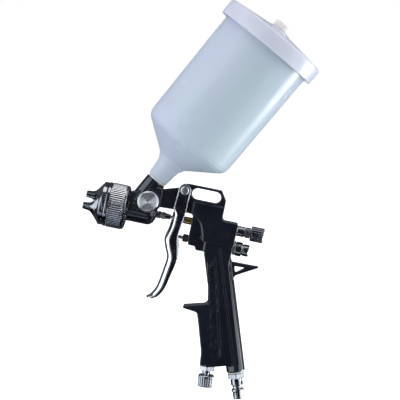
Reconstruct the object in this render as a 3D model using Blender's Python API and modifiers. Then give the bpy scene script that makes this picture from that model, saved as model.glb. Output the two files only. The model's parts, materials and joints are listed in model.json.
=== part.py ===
"""Gravity-feed HVLP spray gun with its plastic paint cup.

Millimetres are used throughout and turned into metres where meshes are made.
+X points back along the needle, so the gun sprays towards -X; +Z is up along the gun's own
height and +Y is its far side. The origin is the middle of the hanging slot's upper edge.
"""
import math

import bmesh
import bpy
from mathutils import Matrix, Vector

MM = 0.001
MERGE = 0.00001

# Axes of the gun
NEEDLE_Z = -29.6  # paint needle, nozzle, air cap and fluid knob
VALVE_Z = -45.0  # air valve under the needle
PIVOT = (-18.8, 0.0, -4.1)  # trigger pivot
FAN = (-47.5, -19.0)  # x and z of the fan control, which lies along -Y
SIDE_SCREW = (-59.3, -26.2)  # x and z of the screw in the near side of the head
CUP_FOOT = (-45.2, 0.0, -0.9)  # middle of the cup socket's end
CUP_LEAN = math.radians(28.0)  # cup axis, tilted back from vertical
INLET_FOOT = (56.15, 0.0, -150.7)  # middle of the air inlet boss's end
INLET_LEAN = math.radians(-18.3)
REGULATOR_FOOT = (31.0, 0.0, -150.4)
REGULATOR_LEAN = math.radians(-6.0)
HORN_TURN = math.radians(120.0)  # air cap horns, from vertical about the needle axis

# Half widths of the casting, across the gun
ARM_HALF = 4.4
HEAD_HALF = 8.0
BLOCK_HALF = 11.0
FRONT_HALF = 7.5
GRIP_HALF = 8.4
SPUR_HALF = 4.0

# Trigger
TRIGGER_HALF = 7.1
TRIGGER_WALL = 2.2

# Bores
SLEEVE_BORE = 3.5
SPRING_BORE = 5.0
VALVE_BORE = 5.4
AIR_BORE = 1.5

# Cup
CUP_WALL = 1.6
CUP_RADIUS = 43.3
CUP_RIM = 161.4
LID_RADIUS = 48.8

ALONG_X = (0.0, math.pi / 2, 0.0)  # a turned piece's own +Z then lies along +X
ALONG_CUP = (0.0, CUP_LEAN, 0.0)
ALONG_INLET = (0.0, INLET_LEAN, 0.0)
ALONG_REGULATOR = (0.0, REGULATOR_LEAN, 0.0)
TO_NEAR_SIDE = (math.pi / 2, 0.0, 0.0)  # own +Z then lies along -Y
TO_FAR_SIDE = (-math.pi / 2, 0.0, 0.0)

LOOKS = {
    "black_paint": ((0.012, 0.013, 0.024), 0.28, 0.0, 1.0),
    "chrome": ((0.78, 0.78, 0.78), 0.12, 1.0, 1.0),
    "dark_chrome": ((0.16, 0.16, 0.17), 0.2, 1.0, 1.0),
    "zinc": ((0.42, 0.44, 0.47), 0.42, 1.0, 1.0),
    "brass": ((0.62, 0.46, 0.17), 0.3, 1.0, 1.0),
    "steel": ((0.5, 0.5, 0.5), 0.3, 1.0, 1.0),
    "black_steel": ((0.02, 0.02, 0.022), 0.4, 0.0, 1.0),
    "rubber": ((0.02, 0.02, 0.02), 0.7, 0.0, 1.0),
    "seal_plastic": ((0.75, 0.75, 0.7), 0.5, 0.0, 1.0),
    "cup_plastic": ((0.78, 0.86, 0.9), 0.45, 0.0, 0.75),
    "lid_plastic": ((0.9, 0.93, 0.94), 0.45, 0.0, 0.85),
}


# ---------------------------------------------------------------- scene


def clear_scene():
    for obj in list(bpy.data.objects):
        bpy.data.objects.remove(obj, do_unlink=True)


def new_collection(name):
    collection = bpy.data.collections.new(name)
    bpy.context.scene.collection.children.link(collection)
    return collection


def make_material(name):
    colour, roughness, metallic, alpha = LOOKS[name]
    material = bpy.data.materials.new(name)
    material.use_nodes = True
    shader = material.node_tree.nodes["Principled BSDF"]
    shader.inputs["Base Color"].default_value = (*colour, 1.0)
    shader.inputs["Roughness"].default_value = roughness
    shader.inputs["Metallic"].default_value = metallic
    shader.inputs["Alpha"].default_value = alpha
    material.diffuse_color = (*colour, alpha)
    return material


clear_scene()
PARTS = new_collection("hvlp_spray_gun")
CUTTERS = new_collection("cutters")
MATERIALS = {name: make_material(name) for name in LOOKS}


# ---------------------------------------------------------------- modelling tools


def add_object(name, mesh, look=None):
    """An object in the parts collection, or a hidden guide in the cutters collection."""
    obj = bpy.data.objects.new(name, mesh)
    if look:
        PARTS.objects.link(obj)
        obj.data.materials.append(MATERIALS[look])
    else:
        CUTTERS.objects.link(obj)
        obj.hide_render = True
        obj.display_type = "WIRE"
    return obj


def turned(name, profile, at, turn=ALONG_X, look=None, steps=20, closed=False):
    """A piece turned about its own Z. The profile is (radius, height) down its outer side."""
    points = [(radius * MM, 0.0, height * MM) for radius, height in profile]
    edges = [(i, i + 1) for i in range(len(points) - 1)]
    if closed:
        edges.append((len(points) - 1, 0))
    mesh = bpy.data.meshes.new(name)
    mesh.from_pydata(points, edges, [])
    obj = add_object(name, mesh, look)
    screw = obj.modifiers.new("turn", "SCREW")
    screw.steps = steps
    screw.render_steps = steps
    screw.use_merge_vertices = True
    screw.merge_threshold = MERGE
    obj.location = Vector(at) * MM
    obj.rotation_euler = turn
    return obj


def on_needle(name, profile, look=None, **options):
    """A turned piece on the needle axis, with heights given as places along X."""
    return turned(name, profile, (0.0, 0.0, NEEDLE_Z), ALONG_X, look, **options)


def on_valve(name, profile, look=None, **options):
    """A turned piece on the air valve axis, with heights given as places along X."""
    return turned(name, profile, (0.0, 0.0, VALVE_Z), ALONG_X, look, **options)


def sleeve(outer, inner, top, bottom):
    """The closed profile of a plain ring or tube."""
    return [(outer, top), (outer, bottom), (inner, bottom), (inner, top)]


def pin(radius, top, bottom):
    """The profile of a plain solid cylinder."""
    return [(0.0, top), (radius, top), (radius, bottom), (0.0, bottom)]


def drill(name, start, end, radius, sides=16):
    """A round guide between two points, for a drilled hole."""
    start = Vector(start) * MM
    end = Vector(end) * MM
    shape = bmesh.new()
    bmesh.ops.create_cone(
        shape,
        cap_ends=True,
        segments=sides,
        radius1=radius * MM,
        radius2=radius * MM,
        depth=(end - start).length,
    )
    mesh = bpy.data.meshes.new(name)
    shape.to_mesh(mesh)
    shape.free()
    obj = add_object(name, mesh)
    obj.location = (start + end) / 2
    obj.rotation_mode = "QUATERNION"
    obj.rotation_quaternion = (end - start).to_track_quat("Z", "Y")
    return obj


def block(name, low, high):
    """A box guide between two corners."""
    low = Vector(low) * MM
    high = Vector(high) * MM
    shape = bmesh.new()
    bmesh.ops.create_cube(shape, size=1.0)
    bmesh.ops.scale(shape, vec=high - low, verts=shape.verts)
    bmesh.ops.translate(shape, vec=(low + high) / 2, verts=shape.verts)
    mesh = bpy.data.meshes.new(name)
    shape.to_mesh(mesh)
    shape.free()
    return add_object(name, mesh)


def about_needle(turn):
    """The place of a shape drawn about the origin, once it is turned about the needle axis."""
    return Matrix.Translation((0.0, 0.0, NEEDLE_Z * MM)) @ Matrix.Rotation(turn, 4, "X")


def prism(name, sides, across_flats, at, turn, low, high, look=None, spin=0.0):
    """A straight prism such as a hexagon, along its own Z between two heights."""
    radius = across_flats / 2 / math.cos(math.pi / sides)
    shape = bmesh.new()
    bmesh.ops.create_cone(
        shape,
        cap_ends=True,
        segments=sides,
        radius1=radius * MM,
        radius2=radius * MM,
        depth=(high - low) * MM,
    )
    bmesh.ops.rotate(shape, matrix=Matrix.Rotation(spin, 3, "Z"), verts=shape.verts)
    bmesh.ops.translate(shape, vec=(0, 0, (low + high) / 2 * MM), verts=shape.verts)
    mesh = bpy.data.meshes.new(name)
    shape.to_mesh(mesh)
    shape.free()
    obj = add_object(name, mesh, look)
    obj.location = Vector(at) * MM
    obj.rotation_euler = turn
    return obj


def rounded(corners, arc_steps=2):
    """Outline points in x and z. A corner given as (x, z, radius) becomes an arc."""
    points = []
    count = len(corners)
    for index, corner in enumerate(corners):
        here = Vector(corner[:2])
        if len(corner) == 2:
            points.append(here)
            continue
        before = (Vector(corners[index - 1][:2]) - here).normalized()
        after = (Vector(corners[(index + 1) % count][:2]) - here).normalized()
        half = before.angle(after) / 2
        back = corner[2] / math.tan(half)
        start = here + before * back
        end = here + after * back
        centre = here + (before + after).normalized() * corner[2] / math.sin(half)
        for step in range(arc_steps + 1):
            share = step / arc_steps
            spoke = start.lerp(end, share) - centre
            points.append(centre + spoke.normalized() * corner[2])
    return points


def smooth(points):
    """An open run of points with a smooth curve through them: one more point in every gap."""
    ends = [points[0], *points, points[-1]]
    run = []
    for i in range(1, len(ends) - 2):
        before, start, end, after = (Vector(p) for p in ends[i - 1 : i + 3])
        run.append(start)
        run.append((9.0 * (start + end) - before - after) / 16.0)
    run.append(Vector(points[-1]))
    return [tuple(p) for p in run]


def plate(name, outlines, half, look=None, soften=0.0, segments=1):
    """A flat piece: outlines in x and z, extruded by half its width to either side of y.

    The first outline is the rim and any others are holes."""
    curve = bpy.data.curves.new(name, "CURVE")
    curve.dimensions = "2D"
    curve.fill_mode = "BOTH"
    curve.extrude = half * MM
    for outline in outlines:
        spline = curve.splines.new("POLY")
        spline.points.add(len(outline) - 1)
        for point, (x, z) in zip(spline.points, outline):
            point.co = (x * MM, z * MM, 0.0, 1.0)
        spline.use_cyclic_u = True
    draft = bpy.data.objects.new(name + "_outline", curve)
    CUTTERS.objects.link(draft)
    draft.rotation_euler = (math.pi / 2, 0.0, 0.0)
    obj = add_object(name, as_mesh(draft), look)
    if soften:
        bevel = obj.modifiers.new("soften", "BEVEL")
        bevel.width = soften * MM
        bevel.segments = segments
        bevel.limit_method = "ANGLE"
        bevel.angle_limit = math.radians(50)
        bevel.use_clamp_overlap = True
    return obj


def as_mesh(draft):
    """A welded mesh in world space of a curve object, which is then removed."""
    bpy.context.view_layer.update()
    graph = bpy.context.evaluated_depsgraph_get()
    mesh = bpy.data.meshes.new_from_object(draft.evaluated_get(graph))
    mesh.transform(draft.matrix_world)
    shape = bmesh.new()
    shape.from_mesh(mesh)
    bmesh.ops.remove_doubles(shape, verts=shape.verts, dist=MERGE)
    bmesh.ops.recalc_face_normals(shape, faces=shape.faces)
    shape.to_mesh(mesh)
    shape.free()
    bpy.data.objects.remove(draft, do_unlink=True)
    return mesh


def change(obj, operation, tools):
    """Cuts, joins or intersects an object with each tool in turn."""
    for tool in tools:
        step = obj.modifiers.new(tool.name, "BOOLEAN")
        step.operation = operation
        step.solver = "EXACT"
        step.object = tool


def coil(name, axis_z, start, end, radius, wire, turns, look):
    """A compression spring along X, wound from start to end."""
    per_turn = 8
    count = turns * per_turn
    curve = bpy.data.curves.new(name, "CURVE")
    curve.dimensions = "3D"
    curve.bevel_depth = wire * MM
    curve.bevel_resolution = 1
    curve.use_fill_caps = True
    spline = curve.splines.new("POLY")
    spline.points.add(count)
    for i, point in enumerate(spline.points):
        angle = 2 * math.pi * i / per_turn
        along = start + wire + (end - start - 2 * wire) * i / count
        y = radius * math.cos(angle)
        z = axis_z + radius * math.sin(angle)
        point.co = (along * MM, y * MM, z * MM, 1.0)
    draft = bpy.data.objects.new(name + "_path", curve)
    CUTTERS.objects.link(draft)
    return add_object(name, as_mesh(draft), look)


def move_origin(obj, point):
    """Puts an unturned object's own origin at a point, with the shape left where it is."""
    shift = Vector(point) * MM - obj.location
    obj.data.transform(Matrix.Translation(-shift))
    obj.location += shift


def inlet_point(along):
    """The place at a distance up the inlet axis from the boss's end."""
    direction = Vector((math.sin(INLET_LEAN), 0.0, math.cos(INLET_LEAN)))
    return tuple(Vector(INLET_FOOT) + direction * along)


# ---------------------------------------------------------------- gun body


def head_shapes():
    """The barrel behind the air cap, the block over it, the cup socket and the fan boss."""
    spigot = 15.5
    barrel_radius = 10.7
    dome_start, dome_length = -46.0, 7.4
    dome = []
    for step in range(5):
        angle = math.radians(15 * (5 - step))
        dome.append((barrel_radius * math.cos(angle), dome_start + dome_length * math.sin(angle)))
    barrel = on_needle(
        "barrel",
        [(0.0, dome[0][1])]
        + dome
        + [
            (barrel_radius, dome_start),
            (barrel_radius, -64.6),
            (spigot, -64.6),
            (spigot, -75.5),
            (0.0, -75.5),
        ],
        steps=28,
    )
    over_barrel = plate(
        "over_barrel",
        [
            rounded(
                [
                    (-64.7, -13.8, 1.5),
                    (-60.0, -13.8),
                    (-52.0, -9.0),
                    (-38.0, -6.5, 1.5),
                    (-37.9, -24.0, 2.0),
                    (-44.0, -32.0),
                    (-64.7, -32.0),
                ]
            )
        ],
        HEAD_HALF,
        soften=1.6,
    )
    socket = turned("socket", pin(9.1, 0.0, -26.0), CUP_FOOT, ALONG_CUP, steps=24)
    fan_boss = turned("fan_boss", pin(6.4, 11.5, 0.0), (FAN[0], 0.0, FAN[1]), TO_NEAR_SIDE)
    return barrel, [over_barrel, socket, fan_boss]


def frame_shapes():
    """The arm to the head, the hanging loop and the blocks round the needle and air valve."""
    arm = plate(
        "arm",
        [
            rounded(
                [
                    (-44.0, -9.2),
                    (-37.0, -6.9),
                    (-24.0, -2.8),
                    (-17.8, 2.0, 3.0),
                    (12.8, 2.0, 2.0),
                    (18.0, -6.0, 3.0),
                    (18.1, -30.0),
                    (-7.8, -30.0),
                    (-7.8, -23.1, 2.0),
                    (-26.0, -22.4),
                    (-44.0, -23.2),
                ]
            )
        ],
        ARM_HALF,
        soften=1.2,
    )
    finger_arc = smooth([(-8.6, -21.5), (-2.6, -25.6), (1.6, -31.0), (4.4, -39.5), (5.0, -43.4)])
    upper_block = plate(
        "upper_block",
        [
            rounded(
                [
                    (-8.6, -12.0, 1.0),
                    *finger_arc,
                    (32.3, -43.4, 1.0),
                    (32.3, -23.3, 1.5),
                    (19.6, -23.3),
                    (18.0, -21.5),
                    (18.0, -12.0, 1.0),
                ]
            )
        ],
        BLOCK_HALF,
        soften=2.0,
    )
    front_block = plate(
        "front_block",
        [
            rounded(
                [
                    (-7.8, -22.0, 1.0),
                    (-7.8, -41.0),
                    (-7.2, -49.6, 1.5),
                    (-0.9, -49.8),
                    (0.4, -53.0, 1.5),
                    (12.0, -52.4),
                    (12.0, -22.0),
                ]
            )
        ],
        FRONT_HALF,
        soften=1.5,
    )
    return [arm, upper_block, front_block]


def grip_shapes():
    """The handle with its rear air tube, the two finger spurs and the bosses at its foot."""
    grip = plate(
        "grip",
        [
            rounded(
                [
                    (7.2, -36.0),
                    (7.6, -52.3),
                    (17.6, -82.0, 20.0),
                    (20.4, -97.0, 4.0),
                    (-3.0, -103.6, 1.0),
                    (12.6, -105.9, 2.5),
                    (16.0, -116.0),
                    (23.1, -139.2),
                    (24.2, -150.6, 1.0),
                    (37.2, -149.6, 0.8),
                    (46.0, -147.0),
                    (58.0, -143.0),
                    (31.5, -60.0),
                    (31.9, -50.0),
                    (31.9, -36.0),
                ]
            )
        ],
        GRIP_HALF,
        soften=3.0,
        segments=2,
    )
    air_tube = drill("air_tube", (22.6, 0.0, -47.4), (57.1, 0.0, -149.8), 7.3, sides=20)
    air_tube.scale.x = 1.3
    inlet_boss = turned("inlet_boss", pin(7.9, 9.0, 0.0), INLET_FOOT, ALONG_INLET)
    spur = rounded(
        [(31.0, -57.0), (57.6, -56.7, 0.6), (45.0, -64.4), (38.8, -68.0, 2.0), (37.0, -74.0), (31.0, -74.0)]
    )
    window = rounded([(36.4, -60.1, 0.6), (46.4, -59.5, 0.5), (38.3, -65.8, 0.6)])
    rear_spur = plate("rear_spur", [spur], SPUR_HALF, soften=0.8)
    spur_window = plate("spur_window", [window], SPUR_HALF + 2.0)
    return [grip, air_tube, inlet_boss, rear_spur], spur_window


def head_bores():
    """Seats and drilled ways in the head: nozzle to packing, paint, fan valve, screw and air."""
    along = on_needle(
        "head_bore",
        [
            (0.0, -30.0),
            (3.5, -30.0),
            (3.5, -46.8),
            (1.7, -46.8),
            (1.7, -53.0),
            (3.4, -53.0),
            (3.4, -63.1),
            (5.8, -63.1),
            (5.8, -80.0),
            (0.0, -80.0),
        ],
    )
    paint = turned(
        "paint_bore",
        [(0.0, 3.0), (6.5, 3.0), (6.5, -12.0), (3.1, -12.0), (3.1, -31.0), (0.0, -31.0)],
        CUP_FOOT,
        ALONG_CUP,
    )
    fan_seat = drill("fan_seat_bore", (FAN[0], -20.0, FAN[1]), (FAN[0], -5.4, FAN[1]), 3.5, 16)
    screw = turned(
        "side_screw_bore",
        [(0.0, 20.0), (3.7, 20.0), (3.7, 9.0), (2.5, 9.0), (2.5, 6.0), (0.0, 6.0)],
        (SIDE_SCREW[0], 0.0, SIDE_SCREW[1]),
        TO_NEAR_SIDE,
        steps=16,
    )
    across = drill("air_across", (-43.2, -6.8, -19.3), (-43.2, 6.4, -19.3), 1.7, 8)
    spray_air = drill("spray_air", (-42.6, 5.7, -19.2), (-80.0, 5.7, -19.2), AIR_BORE, 8)
    fan_air = drill("fan_air", (-46.6, -5.9, -19.5), (-80.0, -5.9, -19.5), AIR_BORE, 8)
    return [along, paint, fan_seat, screw, across, spray_air, fan_air]


def frame_bores():
    """The slot, pivot hole, needle and valve bores, and the air ways up to the head."""
    high, low = 0.0, -10.0
    front, back = -12.4, 13.2
    corner = (high - low) / 2 - 0.05
    ends = [(front, high, corner), (back, high, corner), (back, low, corner), (front, low, corner)]
    slot = plate("slot_bore", [rounded(ends, 4)], BLOCK_HALF + 4.0)
    pivot = drill("pivot_bore", (PIVOT[0], -9.0, PIVOT[2]), (PIVOT[0], 9.0, PIVOT[2]), 2.9, 16)
    needle = on_needle(
        "frame_bore",
        [
            (0.0, 40.0),
            (SPRING_BORE, 40.0),
            (SPRING_BORE, 10.0),
            (SLEEVE_BORE, 10.0),
            (SLEEVE_BORE, -14.0),
            (0.0, -14.0),
        ],
    )
    valve = on_valve(
        "valve_bore",
        [
            (0.0, 40.0),
            (VALVE_BORE, 40.0),
            (VALVE_BORE, 9.0),
            (3.4, 9.0),
            (3.4, 3.5),
            (1.9, 3.5),
            (1.9, -1.0),
            (3.0, -1.0),
            (3.0, -14.0),
            (0.0, -14.0),
        ],
    )
    rise_side = drill("rise_side", (6.0, 0.0, -45.2), (6.0, 7.0, -45.2), 1.7, 8)
    rise = drill("rise", (6.0, 6.5, -46.4), (6.0, 6.5, -26.4), AIR_BORE, 8)
    rise_in = drill("rise_in", (6.3, 7.4, -28.2), (6.3, -0.7, -17.7), 1.7, 8)
    arm_way = drill("arm_way", (7.4, 0.0, -18.4), (-44.4, 0.0, -18.4), 1.4, 8)
    lock_hole = drill("lock_hole", (1.6, -14.0, -41.2), (1.6, -6.2, -41.2), 1.3, 10)
    return [slot, pivot, needle, valve, rise_side, rise, rise_in, arm_way, lock_hole]


def grip_bores():
    """The air way up the grip, the inlet thread, and the regulator's seat and cross hole."""
    up_grip = drill("grip_air", inlet_point(6.0), (22.4, 0.0, -46.0), 3.1, 12)
    inlet_thread = drill("inlet_thread_bore", inlet_point(-3.0), inlet_point(12.0), 4.9, 16)
    regulator = turned(
        "regulator_bore",
        [(0.0, 24.0), (2.7, 24.0), (2.7, 11.0), (4.9, 11.0), (4.9, -3.0), (0.0, -3.0)],
        REGULATOR_FOOT,
        ALONG_REGULATOR,
        steps=16,
    )
    cross = drill("regulator_cross", (28.6, 0.0, -128.4), (51.0, 0.0, -128.4), 2.0, 8)
    return [up_grip, inlet_thread, regulator, cross]


def make_body():
    barrel, head = head_shapes()
    grip, spur_window = grip_shapes()
    CUTTERS.objects.unlink(barrel)
    PARTS.objects.link(barrel)
    barrel.name = "gun_body"
    barrel.hide_render = False
    barrel.display_type = "TEXTURED"
    barrel.data.materials.append(MATERIALS["black_paint"])
    change(barrel, "UNION", head + frame_shapes() + grip)
    change(barrel, "DIFFERENCE", head_bores() + frame_bores() + grip_bores() + [spur_window])


# ---------------------------------------------------------------- nozzle and air cap


def make_nozzle():
    """The fluid nozzle with its seal, and the ring that shares out the air round it."""
    on_needle(
        "fluid_nozzle",
        [
            (5.5, -64.6),
            (5.5, -75.8),
            (6.4, -75.8),
            (6.4, -78.5),
            (8.2, -78.8),
            (8.2, -81.4),
            (5.6, -82.6),
            (2.9, -87.4),
            (1.8, -88.0),
            (1.8, -90.6),
            (0.8, -90.6),
            (0.8, -90.2),
            (1.7, -84.8),
            (3.2, -79.0),
            (3.2, -64.6),
        ],
        "steel",
        closed=True,
        steps=16,
    )
    on_needle("nozzle_gasket", sleeve(5.4, 3.6, -63.4, -64.3), "seal_plastic", closed=True, steps=16)
    ring = on_needle(
        "air_distribution_ring", sleeve(13.6, 6.8, -75.9, -78.2), "brass", closed=True, steps=24
    )
    holes = []
    for index in range(8):
        angle = 2 * math.pi * (index + 0.5) / 8
        y = 10.3 * math.cos(angle)
        z = NEEDLE_Z + 10.3 * math.sin(angle)
        holes.append(drill(f"air_hole_{index + 1}", (-80.0, y, z), (-74.0, y, z), 1.1, 6))
    change(ring, "DIFFERENCE", holes)


def make_air_cap():
    """The cap with its two horns, the wire that holds it, and the ring that clamps it."""
    cap = on_needle(
        "air_cap",
        [
            (14.0, -78.6),
            (14.0, -79.9),
            (13.1, -79.9),
            (13.1, -81.6),
            (14.0, -81.6),
            (14.0, -84.3),
            (18.4, -84.3),
            (18.9, -84.8),
            (18.9, -87.7),
            (18.2, -88.4),
            (11.0, -89.9),
            (5.6, -90.2),
            (2.5, -90.2),
            (2.5, -88.4),
            (9.6, -82.6),
            (12.0, -80.8),
            (12.0, -78.6),
        ],
        "dark_chrome",
        closed=True,
        steps=28,
    )
    flare = on_needle(
        "horn_flare",
        [
            (0.0, -87.5),
            (18.2, -87.5),
            (17.6, -88.7),
            (15.7, -90.4),
            (14.0, -92.2),
            (12.5, -96.0),
            (11.6, -103.1),
            (0.0, -103.1),
        ],
        steps=32,
    )
    taper = [(-80.0, 14.0), (-88.7, 13.4), (-90.4, 11.4), (-92.0, 8.8), (-94.0, 5.2), (-96.0, 2.9)]
    edge = [*taper, (-98.5, 2.2), (-110.0, 2.2)]
    slab = plate("horn_slab", [edge + [(x, -z) for x, z in reversed(edge)]], 25.0)
    slab.matrix_world = about_needle(HORN_TURN + math.pi / 2)
    between = on_needle(
        "between_horns", [(0.0, -80.0), (5.9, -80.0), (5.9, -91.0), (8.2, -110.0), (0.0, -110.0)]
    )
    change(flare, "INTERSECT", [slab])
    change(flare, "DIFFERENCE", [between])
    change(cap, "UNION", [flare])
    on_needle("cap_snap_ring", sleeve(15.3, 13.5, -80.3, -81.2), "steel", closed=True, steps=24)
    on_needle(
        "air_cap_ring",
        [
            (17.0, -65.0),
            (18.3, -69.5),
            (19.5, -69.9),
            (19.5, -82.3),
            (18.2, -84.0),
            (14.4, -84.0),
            (14.4, -81.5),
            (15.8, -81.5),
            (15.8, -65.0),
        ],
        "chrome",
        closed=True,
        steps=32,
    )


# ---------------------------------------------------------------- needle and fluid knob


def make_needle():
    """The paint needle, the brass sleeve that the trigger pushes, its packing and spring."""
    on_needle(
        "fluid_needle",
        [
            (0.0, 17.0),
            (1.3, 17.0),
            (1.3, 10.1),
            (2.6, 10.1),
            (2.6, 6.3),
            (1.3, 6.3),
            (1.3, -85.0),
            (0.45, -90.4),
            (0.0, -91.0),
        ],
        "steel",
        steps=16,
    )
    nose = []
    for step in range(4):
        angle = math.radians(20 * step)
        nose.append((3.2 * math.cos(angle), -19.9 - 3.2 * math.sin(angle)))
    on_needle(
        "needle_sleeve",
        [(3.2, 6.0)] + nose + [(1.6, -23.0), (1.6, 6.0)],
        "brass",
        closed=True,
        steps=16,
    )
    on_needle("needle_packing", sleeve(3.2, 1.6, -43.6, -46.5), "seal_plastic", closed=True, steps=16)
    on_needle(
        "packing_nut",
        [
            (2.2, -26.6),
            (2.6, -31.4),
            (3.1, -31.8),
            (3.1, -34.0),
            (2.6, -34.2),
            (2.6, -35.2),
            (3.1, -35.4),
            (3.1, -43.3),
            (1.6, -43.3),
            (1.6, -26.6),
        ],
        "chrome",
        closed=True,
        steps=16,
    )
    on_needle("spring_seat", sleeve(4.5, 1.6, 11.9, 10.4), "steel", closed=True, steps=16)
    coil("needle_spring", NEEDLE_Z, 12.2, 24.9, 3.5, 0.5, 7, "steel")


def make_fluid_knob():
    """The threaded housing behind the needle, its lock ring, the stop pin and the knob."""
    on_needle(
        "knob_housing",
        [
            (3.4, 50.0),
            (3.4, 39.4),
            (4.5, 39.4),
            (4.5, 32.9),
            (4.7, 32.6),
            (4.7, 25.2),
            (2.3, 25.2),
            (2.3, 50.0),
        ],
        "chrome",
        closed=True,
        steps=16,
    )
    on_needle("knob_lock_ring", sleeve(4.6, 3.7, 44.2, 39.8), "dark_chrome", closed=True, steps=16)
    on_needle("needle_stop", pin(2.0, 50.6, 24.2), "steel", steps=16)
    on_needle(
        "fluid_control_knob",
        [
            (0.0, 56.0),
            (6.0, 56.0),
            (6.6, 55.4),
            (6.6, 45.2),
            (6.0, 44.6),
            (3.7, 44.6),
            (3.7, 50.9),
            (0.0, 50.9),
        ],
        "chrome",
        steps=16,
    )


# ---------------------------------------------------------------- trigger


def trigger_outline():
    """The trigger seen from the side, from its head round the front to the hook and back."""
    head = []
    for step in range(9):
        angle = math.radians(-10 + 200 * step / 8)
        head.append((PIVOT[0] + 5.2 * math.cos(angle), PIVOT[2] + 5.2 * math.sin(angle)))
    front = smooth(
        [
            (-25.4, -22.0),
            (-25.9, -36.5),
            (-28.1, -48.0),
            (-26.0, -55.8),
            (-22.8, -64.5),
            (-23.9, -75.5),
            (-26.4, -90.5),
            (-30.4, -98.4),
            (-33.8, -101.2),
        ]
    )
    back = smooth(
        [
            (-33.4, -102.4),
            (-27.2, -99.8),
            (-22.2, -92.6),
            (-17.2, -80.0),
            (-14.4, -70.0),
            (-13.6, -62.4),
            (-14.8, -54.5),
            (-16.6, -43.3),
            (-14.2, -22.4),
        ]
    )
    return head + front + back


def make_trigger():
    """A pressed trigger: two cheeks astride the arm, joined by a rounded front web."""
    trigger = plate("trigger", [trigger_outline()], TRIGGER_HALF, "chrome", soften=1.0)
    inner_front = smooth(
        [(-23.4, -24.6), (-23.6, -36.5), (-25.6, -47.6), (-23.6, -56.4), (-20.4, -64.5), (-20.6, -74.0)]
    )
    channel = plate(
        "trigger_channel",
        [[(-40.0, 10.0), (-40.0, -24.6), *inner_front, (-17.0, -80.6), (0.0, -80.6), (0.0, 10.0)]],
        TRIGGER_HALF - TRIGGER_WALL,
    )
    needle_slot = block("needle_slot", (-40.0, -1.8, -33.6), (-15.0, 1.8, -20.0))
    pivot = drill("trigger_pivot_hole", (PIVOT[0], -12.0, PIVOT[2]), (PIVOT[0], 12.0, PIVOT[2]), 2.9, 20)
    change(trigger, "DIFFERENCE", [channel, needle_slot, pivot])
    move_origin(trigger, PIVOT)


def make_pivot():
    """The pin is a headed barrel from the far side with a slotted screw in its near end."""
    turned(
        "pivot_barrel",
        [
            (0.0, 8.7),
            (3.6, 8.7),
            (3.9, 8.3),
            (3.9, 7.4),
            (2.6, 7.4),
            (2.6, -6.9),
            (1.9, -6.9),
            (1.9, 5.0),
            (0.0, 5.0),
        ],
        PIVOT,
        TO_FAR_SIDE,
        "chrome",
        steps=16,
    )
    screw = turned(
        "pivot_screw",
        [
            (0.0, 8.8),
            (3.1, 8.8),
            (3.8, 8.3),
            (3.8, 7.4),
            (1.6, 7.4),
            (1.6, -3.0),
            (0.0, -3.0),
        ],
        PIVOT,
        TO_NEAR_SIDE,
        "chrome",
        steps=16,
    )
    slot_low = (PIVOT[0] - 0.45, -10.0, PIVOT[2] - 5.0)
    slot_high = (PIVOT[0] + 0.45, -8.2, PIVOT[2] + 5.0)
    change(screw, "DIFFERENCE", [block("pivot_slot", slot_low, slot_high)])


# ---------------------------------------------------------------- air valve


def make_air_valve():
    """Stem and poppet, gland with its seal, spring and rear plug, all on the valve axis."""
    nose = []
    for step in range(3):
        angle = math.radians(30 * (2 - step))
        nose.insert(0, (1.5 * math.cos(angle), -23.4 - 1.5 * math.sin(angle)))
    on_valve(
        "air_valve_stem",
        [
            (0.0, 18.0),
            (1.5, 18.0),
            (1.5, 13.2),
            (4.5, 13.2),
            (4.5, 11.0),
            (1.5, 11.0),
            *nose,
            (0.0, -24.9),
        ],
        "steel",
        steps=16,
    )
    on_valve("air_valve_seal", sleeve(4.5, 1.8, 10.7, 9.3), "rubber", closed=True, steps=16)
    on_valve(
        "air_valve_gland",
        [
            (2.7, -3.0),
            (2.7, -8.1),
            (3.4, -8.1),
            (3.4, -12.3),
            (3.0, -12.6),
            (1.8, -12.6),
            (1.8, -3.0),
        ],
        "black_steel",
        closed=True,
        steps=16,
    )
    on_valve("stem_seal", sleeve(2.7, 1.8, -1.3, -2.7), "rubber", closed=True, steps=16)
    coil("air_valve_spring", VALVE_Z, 13.5, 36.7, 3.4, 0.55, 8, "steel")
    on_valve("plug_washer", sleeve(6.3, 5.5, 34.0, 32.6), "zinc", closed=True, steps=16)
    on_valve(
        "air_valve_plug",
        [
            (0.0, 46.0),
            (4.6, 46.0),
            (5.2, 45.4),
            (5.2, 41.0),
            (4.6, 40.7),
            (4.6, 40.0),
            (6.2, 39.7),
            (6.2, 34.3),
            (5.1, 34.3),
            (5.1, 24.0),
            (4.3, 24.0),
            (4.3, 37.0),
            (0.0, 37.0),
        ],
        "chrome",
        steps=16,
    )


# ---------------------------------------------------------------- fan control and head screw


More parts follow.
